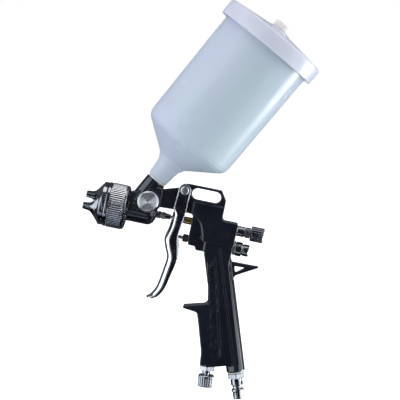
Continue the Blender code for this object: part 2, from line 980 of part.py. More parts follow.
def make_fan_control():
    """The fan valve on the near side of the head: bushing, valve pin, seal and knob."""
    foot = (FAN[0], 0.0, FAN[1])
    turned(
        "fan_bushing",
        [
            (3.9, 17.0),
            (3.9, 14.1),
            (5.8, 14.1),
            (5.8, 11.8),
            (3.2, 11.8),
            (3.2, 8.4),
            (2.6, 8.4),
            (2.6, 17.0),
        ],
        foot,
        TO_NEAR_SIDE,
        "chrome",
        closed=True,
        steps=16,
    )
    turned(
        "fan_valve_pin",
        [
            (0.0, 20.4),
            (1.5, 20.4),
            (1.5, 13.6),
            (2.3, 13.4),
            (2.3, 12.4),
            (1.5, 12.4),
            (1.5, 10.9),
            (2.3, 10.9),
            (2.3, 8.6),
            (0.8, 6.6),
            (0.0, 6.6),
        ],
        foot,
        TO_NEAR_SIDE,
        "steel",
        steps=16,
    )
    turned("fan_seal", sleeve(2.4, 1.8, 12.1, 11.2), foot, TO_NEAR_SIDE, "rubber", closed=True, steps=16)
    turned(
        "fan_control_knob",
        [
            (0.0, 24.0),
            (7.6, 24.0),
            (9.0, 22.9),
            (9.0, 16.0),
            (8.4, 15.0),
            (4.2, 15.0),
            (4.2, 20.7),
            (0.0, 20.7),
        ],
        foot,
        TO_NEAR_SIDE,
        "chrome",
        steps=32,
    )


def make_side_screw():
    """The screw that closes the paint way in the side of the head."""
    foot = (SIDE_SCREW[0], 0.0, SIDE_SCREW[1])
    screw = turned(
        "side_screw",
        [(0.0, 10.4), (2.7, 10.4), (3.3, 9.9), (3.3, 9.3), (2.2, 9.3), (2.2, 6.4), (0.0, 6.4)],
        foot,
        TO_NEAR_SIDE,
        "black_steel",
        steps=16,
    )
    slot = block("side_slot", (-65.0, -12.0, -26.6), (-54.0, -9.9, -25.8))
    change(screw, "DIFFERENCE", [slot])


# ---------------------------------------------------------------- regulator and air inlet


def make_regulator():
    """The air regulator under the front of the grip: gland, valve pin, seal and knob."""
    foot = REGULATOR_FOOT
    gland = prism(
        "regulator_gland", 6, 12.6, foot, ALONG_REGULATOR, -4.4, -0.5, "chrome", spin=math.radians(30)
    )
    shank = turned("gland_shank", pin(4.6, 10.0, -2.0), foot, ALONG_REGULATOR, steps=16)
    collar = turned("gland_collar", pin(4.0, -3.0, -7.0), foot, ALONG_REGULATOR, steps=16)
    way = turned("gland_way", pin(2.6, 14.0, -10.0), foot, ALONG_REGULATOR, steps=16)
    change(gland, "UNION", [shank, collar])
    change(gland, "DIFFERENCE", [way])
    turned(
        "regulator_pin",
        [
            (0.0, 18.0),
            (1.2, 18.0),
            (2.3, 15.0),
            (2.3, 4.0),
            (1.6, 4.0),
            (1.6, 2.4),
            (2.3, 2.4),
            (2.3, -14.0),
            (0.0, -14.0),
        ],
        foot,
        ALONG_REGULATOR,
        "steel",
        steps=16,
    )
    seal = sleeve(2.4, 1.9, 3.7, 2.7)
    turned("regulator_seal", seal, foot, ALONG_REGULATOR, "rubber", closed=True, steps=16)
    turned(
        "regulator_knob",
        [
            (0.0, -14.4),
            (2.6, -14.4),
            (2.6, -8.4),
            (6.3, -8.4),
            (7.1, -9.2),
            (7.1, -18.2),
            (6.3, -19.0),
            (0.0, -19.0),
        ],
        foot,
        ALONG_REGULATOR,
        "chrome",
        steps=16,
    )


def make_inlet():
    """The hexagon adapter in the grip's foot, its washer and the hose plug below it."""
    foot = INLET_FOOT
    adapter = prism("inlet_adapter", 6, 13.8, foot, ALONG_INLET, -6.0, -1.5, "zinc")
    shank = turned("adapter_shank", pin(4.6, 10.0, -3.0), foot, ALONG_INLET, steps=16)
    way = turned("adapter_way", pin(3.3, 14.0, -10.0), foot, ALONG_INLET, steps=16)
    change(adapter, "UNION", [shank])
    change(adapter, "DIFFERENCE", [way])
    washer = sleeve(7.0, 4.95, -0.3, -1.2)
    turned("inlet_washer", washer, foot, ALONG_INLET, "seal_plastic", closed=True, steps=16)
    turned(
        "hose_plug",
        [
            (3.0, 3.0),
            (3.0, -6.3),
            (5.3, -6.3),
            (5.3, -11.6),
            (4.15, -12.6),
            (4.15, -14.6),
            (5.4, -15.6),
            (5.4, -17.2),
            (4.6, -18.0),
            (4.6, -24.2),
            (1.6, -24.2),
            (1.6, 3.0),
        ],
        foot,
        ALONG_INLET,
        "chrome",
        closed=True,
        steps=16,
    )


# ---------------------------------------------------------------- paint cup


def make_cup():
    """The paint cup with its thread seal, its screw lid and the lid's breather cap."""
    turned("cup_seal", sleeve(8.8, 6.7, 1.1, 0.3), CUP_FOOT, ALONG_CUP, "seal_plastic", closed=True, steps=24)
    wall = CUP_WALL
    outside = [
        (CUP_RADIUS, CUP_RIM),
        (CUP_RADIUS + 2.2, CUP_RIM - 1.0),
        (CUP_RADIUS + 2.2, 151.0),
        (CUP_RADIUS, 149.0),
        (42.3, 46.0),
        (41.5, 42.6),
        (38.0, 39.5),
        (14.0, 22.4),
        (10.6, 16.5),
        (9.0, 1.4),
        (6.2, 1.4),
        (6.2, -10.6),
    ]
    inside = [
        (3.6, -10.6),
        (3.6, 2.0),
        (8.6, 17.5),
        (12.6, 24.2),
        (36.8, 41.2),
        (40.0, 44.4),
        (42.3 - wall, 47.4),
        (CUP_RADIUS - wall, CUP_RIM),
    ]
    turned("paint_cup", outside + inside, CUP_FOOT, ALONG_CUP, "cup_plastic", closed=True, steps=36)
    turned(
        "cup_lid",
        [
            (5.2, 168.6),
            (9.6, 168.6),
            (9.6, 167.9),
            (LID_RADIUS - 1.4, 163.2),
            (LID_RADIUS, 161.8),
            (LID_RADIUS, 148.6),
            (LID_RADIUS - 2.4, 148.6),
            (LID_RADIUS - 2.4, 161.8),
            (8.0, 166.4),
            (5.2, 166.4),
        ],
        CUP_FOOT,
        ALONG_CUP,
        "lid_plastic",
        closed=True,
        steps=36,
    )
    turned(
        "breather_cap",
        [
            (1.0, 175.0),
            (7.2, 175.0),
            (8.0, 174.2),
            (8.0, 168.9),
            (4.9, 168.9),
            (4.9, 164.0),
            (1.0, 164.0),
        ],
        CUP_FOOT,
        ALONG_CUP,
        "lid_plastic",
        closed=True,
        steps=24,
    )


make_body()
make_nozzle()
make_air_cap()
make_needle()
make_fluid_knob()
make_trigger()
make_pivot()
make_air_valve()
make_fan_control()
make_side_screw()
make_regulator()
make_inlet()
make_cup()
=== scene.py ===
"""Visual model and studio of a gravity-feed HVLP spray gun.

Sizes are in millimetres until a mesh is made. +X points back along the needle, +Z is up along the
gun's own height and +Y is its far side. The origin is the middle of the hanging slot's upper edge.
"""
import json
import math

import bmesh
import bpy
import numpy as np
from mathutils import Euler, Matrix, Vector

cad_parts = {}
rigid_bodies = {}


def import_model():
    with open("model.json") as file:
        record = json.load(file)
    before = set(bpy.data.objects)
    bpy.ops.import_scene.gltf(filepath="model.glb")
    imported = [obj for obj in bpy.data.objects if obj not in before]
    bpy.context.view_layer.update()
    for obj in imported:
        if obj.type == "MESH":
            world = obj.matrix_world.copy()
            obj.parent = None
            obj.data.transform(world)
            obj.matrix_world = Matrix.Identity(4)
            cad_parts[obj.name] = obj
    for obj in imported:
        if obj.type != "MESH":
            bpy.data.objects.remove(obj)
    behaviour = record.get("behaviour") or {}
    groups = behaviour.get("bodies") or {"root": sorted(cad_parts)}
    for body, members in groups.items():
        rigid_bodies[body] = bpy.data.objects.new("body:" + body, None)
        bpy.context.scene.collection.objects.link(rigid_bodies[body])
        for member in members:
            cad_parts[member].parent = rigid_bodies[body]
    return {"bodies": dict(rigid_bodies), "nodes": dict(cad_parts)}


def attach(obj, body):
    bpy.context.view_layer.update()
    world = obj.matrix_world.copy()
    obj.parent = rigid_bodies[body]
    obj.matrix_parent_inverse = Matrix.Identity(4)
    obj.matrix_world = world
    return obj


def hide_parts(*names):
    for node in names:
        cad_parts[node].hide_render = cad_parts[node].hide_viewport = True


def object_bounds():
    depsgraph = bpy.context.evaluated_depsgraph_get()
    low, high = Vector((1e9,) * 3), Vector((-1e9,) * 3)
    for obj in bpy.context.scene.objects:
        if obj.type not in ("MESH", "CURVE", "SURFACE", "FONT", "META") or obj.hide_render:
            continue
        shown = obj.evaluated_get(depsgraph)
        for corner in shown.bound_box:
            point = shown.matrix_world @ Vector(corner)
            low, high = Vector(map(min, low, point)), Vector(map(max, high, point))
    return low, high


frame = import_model()
CAD_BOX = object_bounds()

MM = 0.001
TAU = 2 * math.pi

# Axes of the gun
NEEDLE = (0.0, 0.0, -29.6)
VALVE = (0.0, 0.0, -45.0)
PIVOT = (-18.8, 0.0, -4.1)
FAN = (-47.5, 0.0, -19.0)
SIDE_SCREW = (-59.3, 0.0, -26.2)
CUP_FOOT = (-45.2, 0.0, -0.9)
INLET_FOOT = (56.15, 0.0, -150.7)
REGULATOR_FOOT = (31.0, 0.0, -150.4)
ALONG_X = (0.0, math.pi / 2, 0.0)
ALONG_CUP = (0.0, math.radians(28.0), 0.0)
ALONG_INLET = (0.0, math.radians(-18.3), 0.0)
ALONG_REGULATOR = (0.0, math.radians(-6.0), 0.0)
TO_NEAR_SIDE = (math.pi / 2, 0.0, 0.0)
TO_FAR_SIDE = (-math.pi / 2, 0.0, 0.0)
HORN_TURN = math.radians(120.0)

# Settings of the modelling tools, with lengths in millimetres and angles in radians
WELD = 0.005
NEARLY_STRAIGHT = math.radians(172)
SHARPEST_KEPT = math.radians(50)
TURNED_STEPS = 72
RIBBED_STEPS = 240

GUIDES = bpy.data.collections.new("guides")
bpy.context.scene.collection.children.link(GUIDES)
BODY_OF = {}
for node_name, node in frame["nodes"].items():
    BODY_OF[node_name] = next(n for n, empty in frame["bodies"].items() if empty == node.parent)


# ---------------------------------------------------------------- materials


class Nodes:
    """Short ways to add and join the shader nodes of one material."""

    def __init__(self, tree):
        self.tree = tree

    def add(self, kind, **settings):
        node = self.tree.nodes.new("ShaderNode" + kind)
        for key, value in settings.items():
            setattr(node, key, value)
        return node

    def join(self, start, end):
        self.tree.links.new(start, end)

    def noise(self, scale, detail=3.0, stretch=None):
        """Noise over the piece's own space, drawn out along an axis when stretch is given."""
        place = self.add("TexCoord")
        vector = place.outputs["Object"]
        if stretch:
            mapping = self.add("Mapping")
            mapping.inputs["Scale"].default_value = stretch
            self.join(vector, mapping.inputs["Vector"])
            vector = mapping.outputs["Vector"]
        texture = self.add("TexNoise")
        texture.inputs["Scale"].default_value = scale
        texture.inputs["Detail"].default_value = detail
        self.join(vector, texture.inputs["Vector"])
        return texture.outputs["Fac"]

    def spread(self, value, low, high, start=0.35, end=0.65):
        """The value carried over to a range of numbers."""
        node = self.add("MapRange")
        node.inputs["From Min"].default_value = start
        node.inputs["From Max"].default_value = end
        node.inputs["To Min"].default_value = low
        node.inputs["To Max"].default_value = high
        self.join(value, node.inputs["Value"])
        return node.outputs["Result"]

    def between(self, factor, first, second):
        """A colour between two colours or colour outputs."""
        mix = self.add("Mix", data_type="RGBA")
        self.join(factor, mix.inputs["Factor"])
        for colour, socket in ((first, mix.inputs[6]), (second, mix.inputs[7])):
            if isinstance(colour, tuple):
                socket.default_value = (*colour, 1.0)
            else:
                self.join(colour, socket)
        return mix.outputs[2]

    def bump(self, height, distance, under=None):
        node = self.add("Bump")
        node.inputs["Distance"].default_value = distance
        self.join(height, node.inputs["Height"])
        if under:
            self.join(under, node.inputs["Normal"])
        return node.outputs["Normal"]


def new_material(name):
    material = bpy.data.materials.new("look_" + name)
    material.use_nodes = True
    shader = material.node_tree.nodes["Principled BSDF"]
    return material, shader, Nodes(material.node_tree)


def set_sockets(shader, settings):
    """Settings are named as the shader's sockets, with _ for a space."""
    for socket, value in settings.items():
        shader.inputs[socket.replace("_", " ")].default_value = value


def surface(name, colours, rough, metal, grain, worn=None, **fixed):
    """A finish with colour drift, uneven polish and a fine surface grain.

    rough is a range of roughness and grain a scale and a depth. Edges turn to the worn colour in
    patches, when one is given."""
    material, shader, nodes = new_material(name)
    drift = nodes.noise(60.0, 4.0)
    colour = nodes.between(nodes.spread(drift, 0.0, 1.0), *colours)
    if worn:
        geometry = nodes.add("NewGeometry")
        edge = nodes.spread(geometry.outputs["Pointiness"], 0.0, 1.0, 0.53, 0.6)
        patchy = nodes.spread(nodes.noise(350.0), 0.0, 1.0, 0.42, 0.62)
        both = nodes.add("Math", operation="MULTIPLY")
        nodes.join(edge, both.inputs[0])
        nodes.join(patchy, both.inputs[1])
        colour = nodes.between(both.outputs[0], colour, worn)
    nodes.join(colour, shader.inputs["Base Color"])
    polish = nodes.noise(162.0, 5.0)
    nodes.join(nodes.spread(polish, *rough), shader.inputs["Roughness"])
    scale, depth = grain
    nodes.join(nodes.bump(nodes.noise(scale, 2.0), depth), shader.inputs["Normal"])
    shader.inputs["Metallic"].default_value = metal
    set_sockets(shader, fixed)
    return material


def turned_metal(name, colours, rough, pitch=0.00022, depth=0.000004, **fixed):
    """Metal faced on a lathe: fine rings about the piece's own Z, and light drawn out across them."""
    material, shader, nodes = new_material(name)
    place = nodes.add("TexCoord")
    rings = nodes.add("TexWave", wave_type="RINGS", rings_direction="Z")
    rings.inputs["Scale"].default_value = 1.0 / pitch / TAU
    rings.inputs["Distortion"].default_value = 0.4
    nodes.join(place.outputs["Object"], rings.inputs["Vector"])
    drift = nodes.noise(160.0, 4.0)
    nodes.join(nodes.between(nodes.spread(drift, 0.0, 1.0), *colours), shader.inputs["Base Color"])
    nodes.join(nodes.spread(nodes.noise(420.0), *rough), shader.inputs["Roughness"])
    nodes.join(nodes.bump(rings.outputs["Fac"], depth), shader.inputs["Normal"])
    tangent = nodes.add("Tangent", direction_type="RADIAL", axis="Z")
    nodes.join(tangent.outputs["Tangent"], shader.inputs["Tangent"])
    shader.inputs["Metallic"].default_value = 1.0
    set_sockets(shader, fixed)
    return material


def milky(name, colours, rough, through, glow):
    """Translucent moulded plastic: light scatters through its wall, with faint flow marks.

    through is the share of light that the wall lets on, in the colours of glow."""
    material, shader, nodes = new_material(name)
    drift = nodes.noise(14.0, 3.0, (1.0, 1.0, 0.35))
    colour = nodes.between(nodes.spread(drift, 0.0, 1.0), *colours)
    nodes.join(colour, shader.inputs["Base Color"])
    nodes.join(nodes.spread(nodes.noise(45.0), *rough), shader.inputs["Roughness"])
    flow = nodes.bump(nodes.noise(30.0, 2.0, (1.0, 1.0, 0.2)), 0.0004)
    fine = nodes.bump(nodes.noise(1400.0, 2.0), 0.000008, under=flow)
    nodes.join(fine, shader.inputs["Normal"])
    shader.inputs["IOR"].default_value = 1.5
    scatter = nodes.add("BsdfTranslucent")
    nodes.join(nodes.between(nodes.spread(drift, 0.0, 1.0), *glow), scatter.inputs["Color"])
    mix = nodes.add("MixShader")
    mix.inputs["Fac"].default_value = through
    out = nodes.tree.nodes["Material Output"]
    nodes.join(shader.outputs["BSDF"], mix.inputs[1])
    nodes.join(scatter.outputs["BSDF"], mix.inputs[2])
    nodes.join(mix.outputs["Shader"], out.inputs["Surface"])
    return material


LOOKS = {
    "black_paint": surface(
        "black_paint",
        ((0.006, 0.0075, 0.0125), (0.010, 0.012, 0.021)),
        (0.16, 0.24),
        0.0,
        (1100.0, 0.000012),
        worn=(0.028, 0.031, 0.045),
        Coat_Weight=0.6,
        Coat_Roughness=0.08,
    ),
    "chrome": surface(
        "chrome", ((0.74, 0.75, 0.77), (0.86, 0.86, 0.87)), (0.05, 0.12), 1.0, (1500.0, 0.000004)
    ),
    "turned_chrome": turned_metal(
        "turned_chrome",
        ((0.74, 0.75, 0.77), (0.88, 0.88, 0.88)),
        (0.4, 0.48),
        Anisotropic=0.95,
        Anisotropic_Rotation=0.25,
    ),
    # A darker copy of the chrome: its colour paints the dark reflections of a dim room, on the ring's
    # collar and band, the air cap and the needle knob and its lock ring.
    "dark_chrome": surface(
        "dark_chrome", ((0.2, 0.2, 0.22), (0.34, 0.34, 0.36)), (0.08, 0.18), 1.0, (1500.0, 0.000005)
    ),
    # A darker copy of the chrome, the same all over, for the nuts, knobs and plugs.
    "dim_chrome": surface(
        "dim_chrome", ((0.34, 0.345, 0.36), (0.5, 0.505, 0.52)), (0.1, 0.2), 1.0, (1500.0, 0.000005)
    ),
    "zinc": surface(
        "zinc", ((0.36, 0.37, 0.4), (0.5, 0.51, 0.54)), (0.26, 0.36), 1.0, (1300.0, 0.00001)
    ),
    "brass": turned_metal(
        "brass", ((0.52, 0.36, 0.12), (0.74, 0.55, 0.22)), (0.16, 0.26), 0.0004, 0.000001
    ),
    "steel": turned_metal(
        "steel", ((0.45, 0.45, 0.46), (0.6, 0.6, 0.6)), (0.14, 0.24), 0.0004, 0.000001
    ),
    "black_steel": surface(
        "black_steel", ((0.012, 0.012, 0.014), (0.03, 0.03, 0.034)), (0.3, 0.44), 0.0, (1200.0, 0.00001)
    ),
    "rubber": surface(
        "rubber", ((0.012, 0.012, 0.012), (0.03, 0.03, 0.03)), (0.55, 0.75), 0.0, (1600.0, 0.00003)
    ),
    "seal_plastic": surface(
        "seal_plastic", ((0.62, 0.62, 0.57), (0.75, 0.75, 0.7)), (0.35, 0.5), 0.0, (1500.0, 0.00001)
    ),
    "cup_plastic": milky(
        "cup_plastic",
        ((0.65, 0.67, 0.76), (0.62, 0.7, 0.73)),
        (0.2, 0.28),
        0.5,
        ((0.71, 0.74, 0.83), (0.7, 0.78, 0.8)),
    ),
    "lid_plastic": milky(
        "lid_plastic",
        ((0.7, 0.7, 0.79), (0.74, 0.75, 0.81)),
        (0.2, 0.3),
        0.45,
        ((0.74, 0.75, 0.83), (0.78, 0.8, 0.85)),
    ),
    "cap_plastic": milky(
        "cap_plastic",
        ((0.84, 0.82, 0.78), (0.88, 0.86, 0.82)),
        (0.25, 0.35),
        0.35,
        ((0.86, 0.84, 0.8), (0.9, 0.88, 0.84)),
    ),
}


# ---------------------------------------------------------------- modelling tools


def to_object(name, mesh, guide=False):
    obj = bpy.data.objects.new(name, mesh)
    if guide:
        GUIDES.objects.link(obj)
        obj.hide_render = True
    else:
        bpy.context.scene.collection.objects.link(obj)
    return obj


def show(obj, nodes, slot, look=None, crease=35.0):
    """Gives a piece its finish and its CAD body, in place of the CAD nodes it stands for."""
    obj.data.materials.clear()
    obj.data.materials.append(LOOKS[look or slot])
    obj.data.shade_smooth()
    obj.data.set_sharp_from_angle(angle=math.radians(crease))
    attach(obj, BODY_OF[nodes[0]])
    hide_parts(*nodes)


def eased(profile, radius, closed, steps=3):
    """The profile with each of its corners turned into a small arc."""
    points = [Vector(p) for p in profile]
    count = len(points)
    out = []
    for index, here in enumerate(points):
        if radius == 0 or (not closed and index in (0, count - 1)):
            out.append(here)
            continue
        before = points[index - 1] - here
        after = points[(index + 1) % count] - here
        bend = before.angle(after)
        if bend > NEARLY_STRAIGHT:
            out.append(here)
            continue
        half = bend / 2
        most = min(before.length, after.length) * 0.4
        back = min(radius / math.tan(half), most)
        start = here + before.normalized() * back
        end = here + after.normalized() * back
        for step in range(steps + 1):
            t = step / steps
            out.append(start * (1 - t) ** 2 + here * 2 * t * (1 - t) + end * t**2)
    return out


def revolve(name, profile, steps=TURNED_STEPS, closed=False, ease=0.15, shape=None, guide=False):
    """A mesh turned about its own Z from (radius, height) points. shape changes the radius."""
    solid = bmesh.new()
    rings = []
    for radius, height in eased(profile, ease, closed):
        if radius < 1e-6:
            rings.append([solid.verts.new((0.0, 0.0, height * MM))])
            continue
        ring = []
        for i in range(steps):
            angle = TAU * i / steps
            r = shape(angle, radius, height) if shape else radius
            x, y = r * math.cos(angle), r * math.sin(angle)
            ring.append(solid.verts.new((x * MM, y * MM, height * MM)))
        rings.append(ring)
    last = len(rings) if closed else len(rings) - 1
    for index in range(last):
        bridge(solid, rings[index], rings[(index + 1) % len(rings)], steps)
    bmesh.ops.recalc_face_normals(solid, faces=solid.faces)
    return to_object(name, to_mesh(solid, name), guide)


def bridge(solid, one, two, steps):
    """Faces between two rings of points. A ring of one point is a tip on the axis."""
    if len(one) == 1 and len(two) == 1:
        return
    for i in range(steps):
        j = (i + 1) % steps
        if len(one) == 1:
            corners = [one[0], two[j], two[i]]
        elif len(two) == 1:
            corners = [one[i], one[j], two[0]]
        else:
            corners = [one[i], one[j], two[j], two[i]]
        solid.faces.new(corners)


def to_mesh(shape, name):
    mesh = bpy.data.meshes.new(name)
    shape.to_mesh(mesh)
    shape.free()
    return mesh


def put(obj, at, turn):
    """Sets a turned piece on its axis. A leaning piece is moved as a mesh, so its box stays tight."""
    place = Matrix.LocRotScale(Vector(at) * MM, Euler(turn), None)
    if turn in (ALONG_CUP, ALONG_INLET, ALONG_REGULATOR):
        obj.data.transform(place)
    else:
        obj.matrix_world = place
    return obj


def flutes(count, depth, low, high, inside=0.0):
    """Straight round ribs along a turned piece between two heights, outside a radius."""
    width = 0.97

    def shape(angle, radius, height):
        if not (low <= height <= high) or radius < inside:
            return radius
        off = 2.0 * ((count * angle / TAU) % 1.0) - 1.0
        return radius - depth * (1.0 - math.sqrt(1.0 - (width * off) ** 2))

    return shape


def hexagon(across_flats, low, high, spin=0.0):
    """A hexagon between two heights of a turned piece."""
    apothem = across_flats / 2

    def shape(angle, radius, height):
        if not (low <= height <= high):
            return radius
        off = (angle + spin) % (TAU / 6) - TAU / 12
        return min(radius, apothem / math.cos(off))

    return shape


def runs(start, end, radius, step):
    """Profile points set evenly along a straight turned length."""
    count = max(1, round(abs(end - start) / step))
    return [(radius, start + (end - start) * i / count) for i in range(count + 1)]


def rounded(corners, arc_steps=5):
    """Outline points in x and z. A corner given as (x, z, radius) becomes an arc."""
    points = []
    count = len(corners)
    for index, corner in enumerate(corners):
        here = Vector(corner[:2])
        if len(corner) == 2:
            points.append(here)
            continue
        before = (Vector(corners[index - 1][:2]) - here).normalized()
        after = (Vector(corners[(index + 1) % count][:2]) - here).normalized()
        half = before.angle(after) / 2
        back = corner[2] / math.tan(half)
        start = here + before * back
        end = here + after * back
        centre = here + (before + after).normalized() * corner[2] / math.sin(half)
        for step in range(arc_steps + 1):
            spoke = start.lerp(end, step / arc_steps) - centre
            points.append(centre + spoke.normalized() * corner[2])
    return points


def smooth(points, steps=6):
    """An open run of points with a smooth curve drawn through them."""
    ends = [points[0], *points, points[-1]]
    run = []
    for i in range(1, len(ends) - 2):
        a, b, c, d = (Vector(p) for p in ends[i - 1 : i + 3])
        for step in range(steps):
            t = step / steps
            square = (2 * a - 5 * b + 4 * c - d) * t**2
            cube = (3 * b - a - 3 * c + d) * t**3
            run.append(0.5 * (2 * b + (c - a) * t + square + cube))
    run.append(Vector(points[-1]))
    return [tuple(p) for p in run]


def plate(name, outlines, half, soften=0.0):
    """A flat guide: outlines in x and z, extruded by half its width to either side of y."""
    curve = bpy.data.curves.new(name, "CURVE")
    curve.dimensions = "2D"
    curve.fill_mode = "BOTH"
    curve.extrude = half * MM
    for outline in outlines:
        spline = curve.splines.new("POLY")
        spline.points.add(len(outline) - 1)
        for point, (x, z) in zip(spline.points, outline):
            point.co = (x * MM, z * MM, 0.0, 1.0)
        spline.use_cyclic_u = True
    draft = bpy.data.objects.new(name + "_outline", curve)
    GUIDES.objects.link(draft)
    draft.rotation_euler = (math.pi / 2, 0.0, 0.0)
    obj = to_object(name, baked(draft), guide=True)
    if soften:
        bevel = obj.modifiers.new("soften", "BEVEL")
        bevel.width = soften * MM
        bevel.segments = 4
        bevel.limit_method = "ANGLE"
        bevel.angle_limit = SHARPEST_KEPT
    return obj


def baked(draft):
    """A welded mesh in world space of what an object shows. The object is then removed."""
    bpy.context.view_layer.update()
    graph = bpy.context.evaluated_depsgraph_get()
    mesh = bpy.data.meshes.new_from_object(draft.evaluated_get(graph))
    mesh.transform(draft.matrix_world)
    shape = bmesh.new()
    shape.from_mesh(mesh)
    bmesh.ops.remove_doubles(shape, verts=shape.verts, dist=WELD * MM)
    bmesh.ops.recalc_face_normals(shape, faces=shape.faces)
    shape.to_mesh(mesh)
    shape.free()
    bpy.data.objects.remove(draft, do_unlink=True)
    return mesh


def drill(name, start, end, radius, sides=32, wide=1.0):
    """A round guide between two points, stretched across the gun by wide."""
    start = Vector(start) * MM
    end = Vector(end) * MM
    shape = bmesh.new()
    bmesh.ops.create_cone(
        shape,
        cap_ends=True,
        segments=sides,
        radius1=radius * MM,
        radius2=radius * MM,
        depth=(end - start).length,
    )
    turn = (end - start).to_track_quat("Z", "Y").to_matrix().to_4x4()
    stretch = Matrix.Diagonal((1.0, wide, 1.0, 1.0))
    place = Matrix.Translation((start + end) / 2) @ stretch @ turn
    bmesh.ops.transform(shape, matrix=place, verts=shape.verts)
    return to_object(name, to_mesh(shape, name), guide=True)


def block(name, low, high):
    """A box guide between two corners."""
    low = Vector(low) * MM
    high = Vector(high) * MM
    shape = bmesh.new()
    bmesh.ops.create_cube(shape, size=1.0)
    bmesh.ops.scale(shape, vec=high - low, verts=shape.verts)
    bmesh.ops.translate(shape, vec=(low + high) / 2, verts=shape.verts)
    return to_object(name, to_mesh(shape, name), guide=True)


def change(obj, operation, tools):
    """Joins guides to a piece, or cuts them from it, when it is next baked."""
    for tool in tools:
        step = obj.modifiers.new(tool.name, "BOOLEAN")
        step.operation = operation
        step.solver = "EXACT"
        step.object = tool


def cast(obj, voxel, rounds, faces):
    """Rounds every edge of a guide the way a casting or pressing is rounded, as a fine mesh.

    voxel is the size of its grid, rounds the passes of smoothing and faces the most triangles."""
    grid = obj.modifiers.new("grid", "REMESH")
    grid.mode = "VOXEL"
    grid.voxel_size = voxel * MM
    soften = obj.modifiers.new("soften", "SMOOTH")
    soften.factor = 0.5
    soften.iterations = rounds
    mesh = baked(obj)
    count = sum(len(p.vertices) - 2 for p in mesh.polygons)
    if count > faces:
        thinner = to_object("thinner", mesh, guide=True)
        less = thinner.modifiers.new("less", "DECIMATE")
        less.ratio = faces / count
        mesh = baked(thinner)
    return mesh


def clear_guides():
    for obj in list(GUIDES.objects):
        bpy.data.objects.remove(obj, do_unlink=True)


# ---------------------------------------------------------------- gun body


def turned_guide(name, profile, steps, at, turn, ease=0.0):
    return put(revolve(name, profile, steps, ease=ease, guide=True), at, turn)


def needle_guide(name, profile, steps=64):
    return turned_guide(name, profile, steps, NEEDLE, ALONG_X)


def pin(radius, top, bottom):
    """The profile of a plain round bar."""
    return [(0.0, top), (radius, top), (radius, bottom), (0.0, bottom)]


def head_shapes():
    """The head: a barrel with a domed back, and what stands on it."""
    radius, dome_start, dome_height, dome_steps = 10.7, -46.0, 7.4, 8
    dome = []
    for step in range(dome_steps, -1, -1):
        angle = math.radians(9.2 * step)
        dome.append((radius * math.cos(angle), dome_start + dome_height * math.sin(angle)))
    flange = [(radius, -64.6), (15.5, -64.6), (15.5, -75.5), (0.0, -75.5)]
    barrel = needle_guide("barrel", [(0.0, dome[0][1]), *dome, *flange])
    top = [
        (-64.7, -13.8, 1.5),
        (-60.0, -13.8),
        (-52.0, -9.0),
        (-38.0, -6.5, 1.5),
        (-37.9, -24.0, 2.0),
        (-44.0, -32.0),
        (-64.7, -32.0),
    ]
    over_barrel = plate("over_barrel", [rounded(top)], 8.0, 1.2)
    socket = turned_guide("socket", pin(9.1, 0.0, -26.0), 64, CUP_FOOT, ALONG_CUP, 0.5)
    fan_boss = turned_guide("fan_boss", pin(6.4, 11.5, 0.0), 48, FAN, TO_NEAR_SIDE, 0.5)
    return barrel, [over_barrel, socket, fan_boss]


def frame_shapes():
    """The arm with its hanging loop, and the two blocks behind the trigger."""
    arm = [
        (-44.0, -9.2),
        (-37.0, -6.9),
        (-24.0, -2.8),
        (-17.8, 2.0, 3.0),
        (12.8, 2.0, 2.0),
        (18.0, -6.0, 3.0),
        (18.1, -30.0),
        (-7.8, -30.0),
        (-7.8, -23.1, 2.0),
        (-26.0, -22.4),
        (-44.0, -23.2),
    ]
    finger_arc = smooth([(-8.6, -21.5), (-2.6, -25.6), (1.6, -31.0), (4.4, -39.5), (5.0, -43.4)])
    upper = [
        (-8.6, -12.0, 1.0),
        *finger_arc,
        (32.3, -43.4, 1.0),
        (32.3, -23.3, 1.5),
        (19.6, -23.3),
        (18.0, -21.5),
        (18.0, -12.0, 1.0),
    ]
    front = [
        (-7.8, -22.0, 1.0),
        (-7.8, -41.0),
        (-7.2, -49.6, 1.5),
        (-0.9, -49.8),
        (0.4, -53.0, 1.5),
        (12.0, -52.4),
        (12.0, -22.0),
    ]
    return [
        plate("arm", [rounded(arm)], 4.4, 1.0),
        plate("upper_block", [rounded(upper)], 11.0, 3.0),
        plate("front_block", [rounded(front)], 7.5, 1.2),
    ]


def grip_shapes():
    """The grip with its spurs, the air tube down its back and the inlet's boss, then a window."""
    outline = [
        (7.2, -36.0),
        (7.6, -52.3),
        (17.6, -82.0, 20.0),
        (20.4, -97.0, 4.0),
        (-4.8, -104.0, 1.0),
        (12.6, -105.9, 2.5),
        (16.0, -116.0),
        (23.1, -139.2),
        (24.2, -150.6, 1.0),
        (37.2, -149.6, 0.8),
        (46.0, -147.0),
        (58.0, -143.0),
        (31.5, -60.0),
        (31.9, -50.0),
        (31.9, -36.0),
    ]
    grip = plate("grip", [rounded(outline)], 8.4, 5.0)
    tube = drill("air_tube", (22.6, 0.0, -47.4), (57.1, 0.0, -149.8), 7.3, 64, 1.22)
    boss = turned_guide("inlet_boss", pin(7.9, 9.0, 0.0), 48, INLET_FOOT, ALONG_INLET, 0.5)
    spur = [
        (31.0, -57.0),
        (59.2, -56.5, 0.6),
        (45.0, -64.4),
        (38.8, -68.0, 2.0),
        (37.0, -74.0),
        (31.0, -74.0),
    ]
    rear_spur = plate("rear_spur", [rounded(spur)], 4.0, 0.6)
    window = [(36.4, -60.1, 0.6), (46.4, -59.5, 0.5), (38.3, -65.8, 0.6)]
    return [grip, tube, boss, rear_spur], plate("window", [rounded(window)], 6.0)


